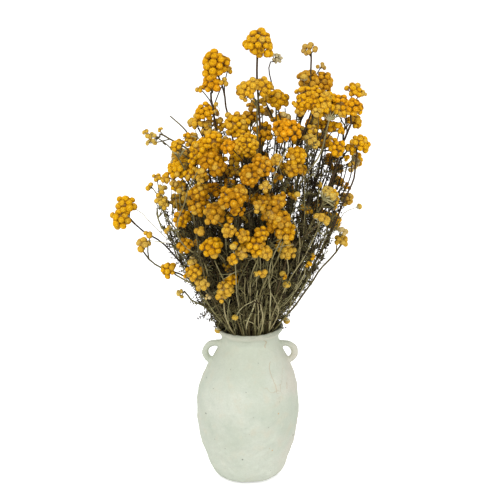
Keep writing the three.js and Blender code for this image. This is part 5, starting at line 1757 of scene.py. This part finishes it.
def fused(bm, voxel):
    """Joins overlapping closed forms into one skin of even cells, as clay is worked together."""
    mesh = bpy.data.meshes.new("blank")
    bm.to_mesh(mesh)
    bm.free()
    blank = in_scene("blank", mesh)
    remesh = blank.modifiers.new("fuse", "REMESH")
    remesh.mode = "VOXEL"
    remesh.voxel_size = voxel
    depsgraph = bpy.context.evaluated_depsgraph_get()
    result = bpy.data.meshes.new_from_object(blank.evaluated_get(depsgraph))
    bpy.data.objects.remove(blank)
    bpy.data.meshes.remove(mesh)
    return result


def relief_at(place):
    """How far the hand-made wall stands out: waves, dents, turning marks low down and the groove."""
    relief = 0.25 + 0.8 * noise.noise(place / 15) + 0.5 * noise.noise(place / 6.5 + Vector((40, 0, 0)))
    relief += 0.15 * noise.noise(place / 2.8)
    streak = Vector((place.x / 16, place.y / 16, (place.z - 0.45 * place.x) / 3.6))
    relief += 0.3 * noise.noise(streak) * ease(place.z, 110, 60)
    if math.hypot(place.x - neck_shift(place.z), place.y) > GROOVE_OUTSIDE:
        relief -= GROOVE_DEPTH * math.exp(-(((place.z - COLLAR_GROOVE) / GROOVE_WIDTH) ** 2))
    return relief


def make_vase():
    mesh = fused(vase_blank(), VASE_CELL * MM)
    bm = bmesh.new()
    bm.from_mesh(mesh)
    for _ in range(3):
        bmesh.ops.smooth_vert(bm, verts=bm.verts, factor=0.5, use_axis_x=True, use_axis_y=True,
                              use_axis_z=True)
    bm.normal_update()
    for vert in bm.verts:
        place = vert.co / MM
        vert.co += vert.normal * relief_at(place) * MM * ease(place.z, 0.5, 4)
        vert.co.z = max(vert.co.z, 0)
    bm.to_mesh(mesh)
    bm.free()
    mesh.name = "stoneware_vase"
    mesh.materials.clear()
    mesh.materials.append(stoneware_material())
    mesh.shade_smooth()
    finish_piece(in_scene("stoneware_vase", mesh), "ceramic", "vase")


noise.seed_set(NOISE_SEED)
sprays = front_sprays() + back_sprays()
crowd = Crowd(sprays)
make_vase()
for order, spray in enumerate(sprays):
    make_heads(spray, order)
for sector in range(SECTORS):
    make_stalks(sector, sprays, crowd)
make_loose_twigs(crowd)


# Floor, light and camera

def make_floor():
    bm = bmesh.new()
    bmesh.ops.create_grid(bm, x_segments=1, y_segments=1, size=15)
    mesh = bpy.data.meshes.new("floor")
    bm.to_mesh(mesh)
    bm.free()
    material, paper, shader = new_material("floor_paper")
    seen = paper.put("LightPath").outputs["Is Camera Ray"]
    paper.feed(shader, {
        "Base Color": (0.93, 0.93, 0.93, 1),
        "Roughness": 0.9,
        "Specular IOR Level": 0.1,
        "Emission Color": (1, 1, 1, 1),
        "Emission Strength": paper.worked("MULTIPLY", seen, 0.55),
    })
    mesh.materials.append(material)
    floor = in_scene("floor", mesh)


def make_light(name, place, target, size, power):
    light = bpy.data.lights.new(name, "AREA")
    light.size = size
    light.energy = power
    holder = in_scene(name, light)
    holder.location = place
    holder.rotation_euler = (Vector(target) - Vector(place)).to_track_quat("-Z", "Y").to_euler()


def make_camera():
    camera = bpy.data.cameras.new("camera")
    camera.sensor_width = 36
    camera.lens = 107.3
    camera.clip_start, camera.clip_end = 0.05, 50
    holder = in_scene("camera", camera)
    holder.location = (VIEW_SIDE * MM, -VIEW_DISTANCE * MM, VIEW_HEIGHT * MM)
    holder.rotation_euler = (math.pi / 2 - VIEW_FALL, 0, 0)
    bpy.context.scene.camera = holder


make_floor()
make_light("key", (-0.9, -1.6, 1.9), (0, 0, 0.25), 1.2, 25)
make_light("fill", (1.6, -1.2, 1.0), (0, 0, 0.25), 1.6, 9)
make_light("back", (0.3, 1.6, 1.8), (0, 0, 0.3), 1.4, 10)
make_camera()

world = bpy.data.worlds.new("studio")
world.use_nodes = True
world.node_tree.nodes["Background"].inputs["Color"].default_value = (1, 1, 1, 1)
world.node_tree.nodes["Background"].inputs["Strength"].default_value = 0.72
bpy.context.scene.world = world
bpy.context.scene.view_settings.view_transform = "Standard"
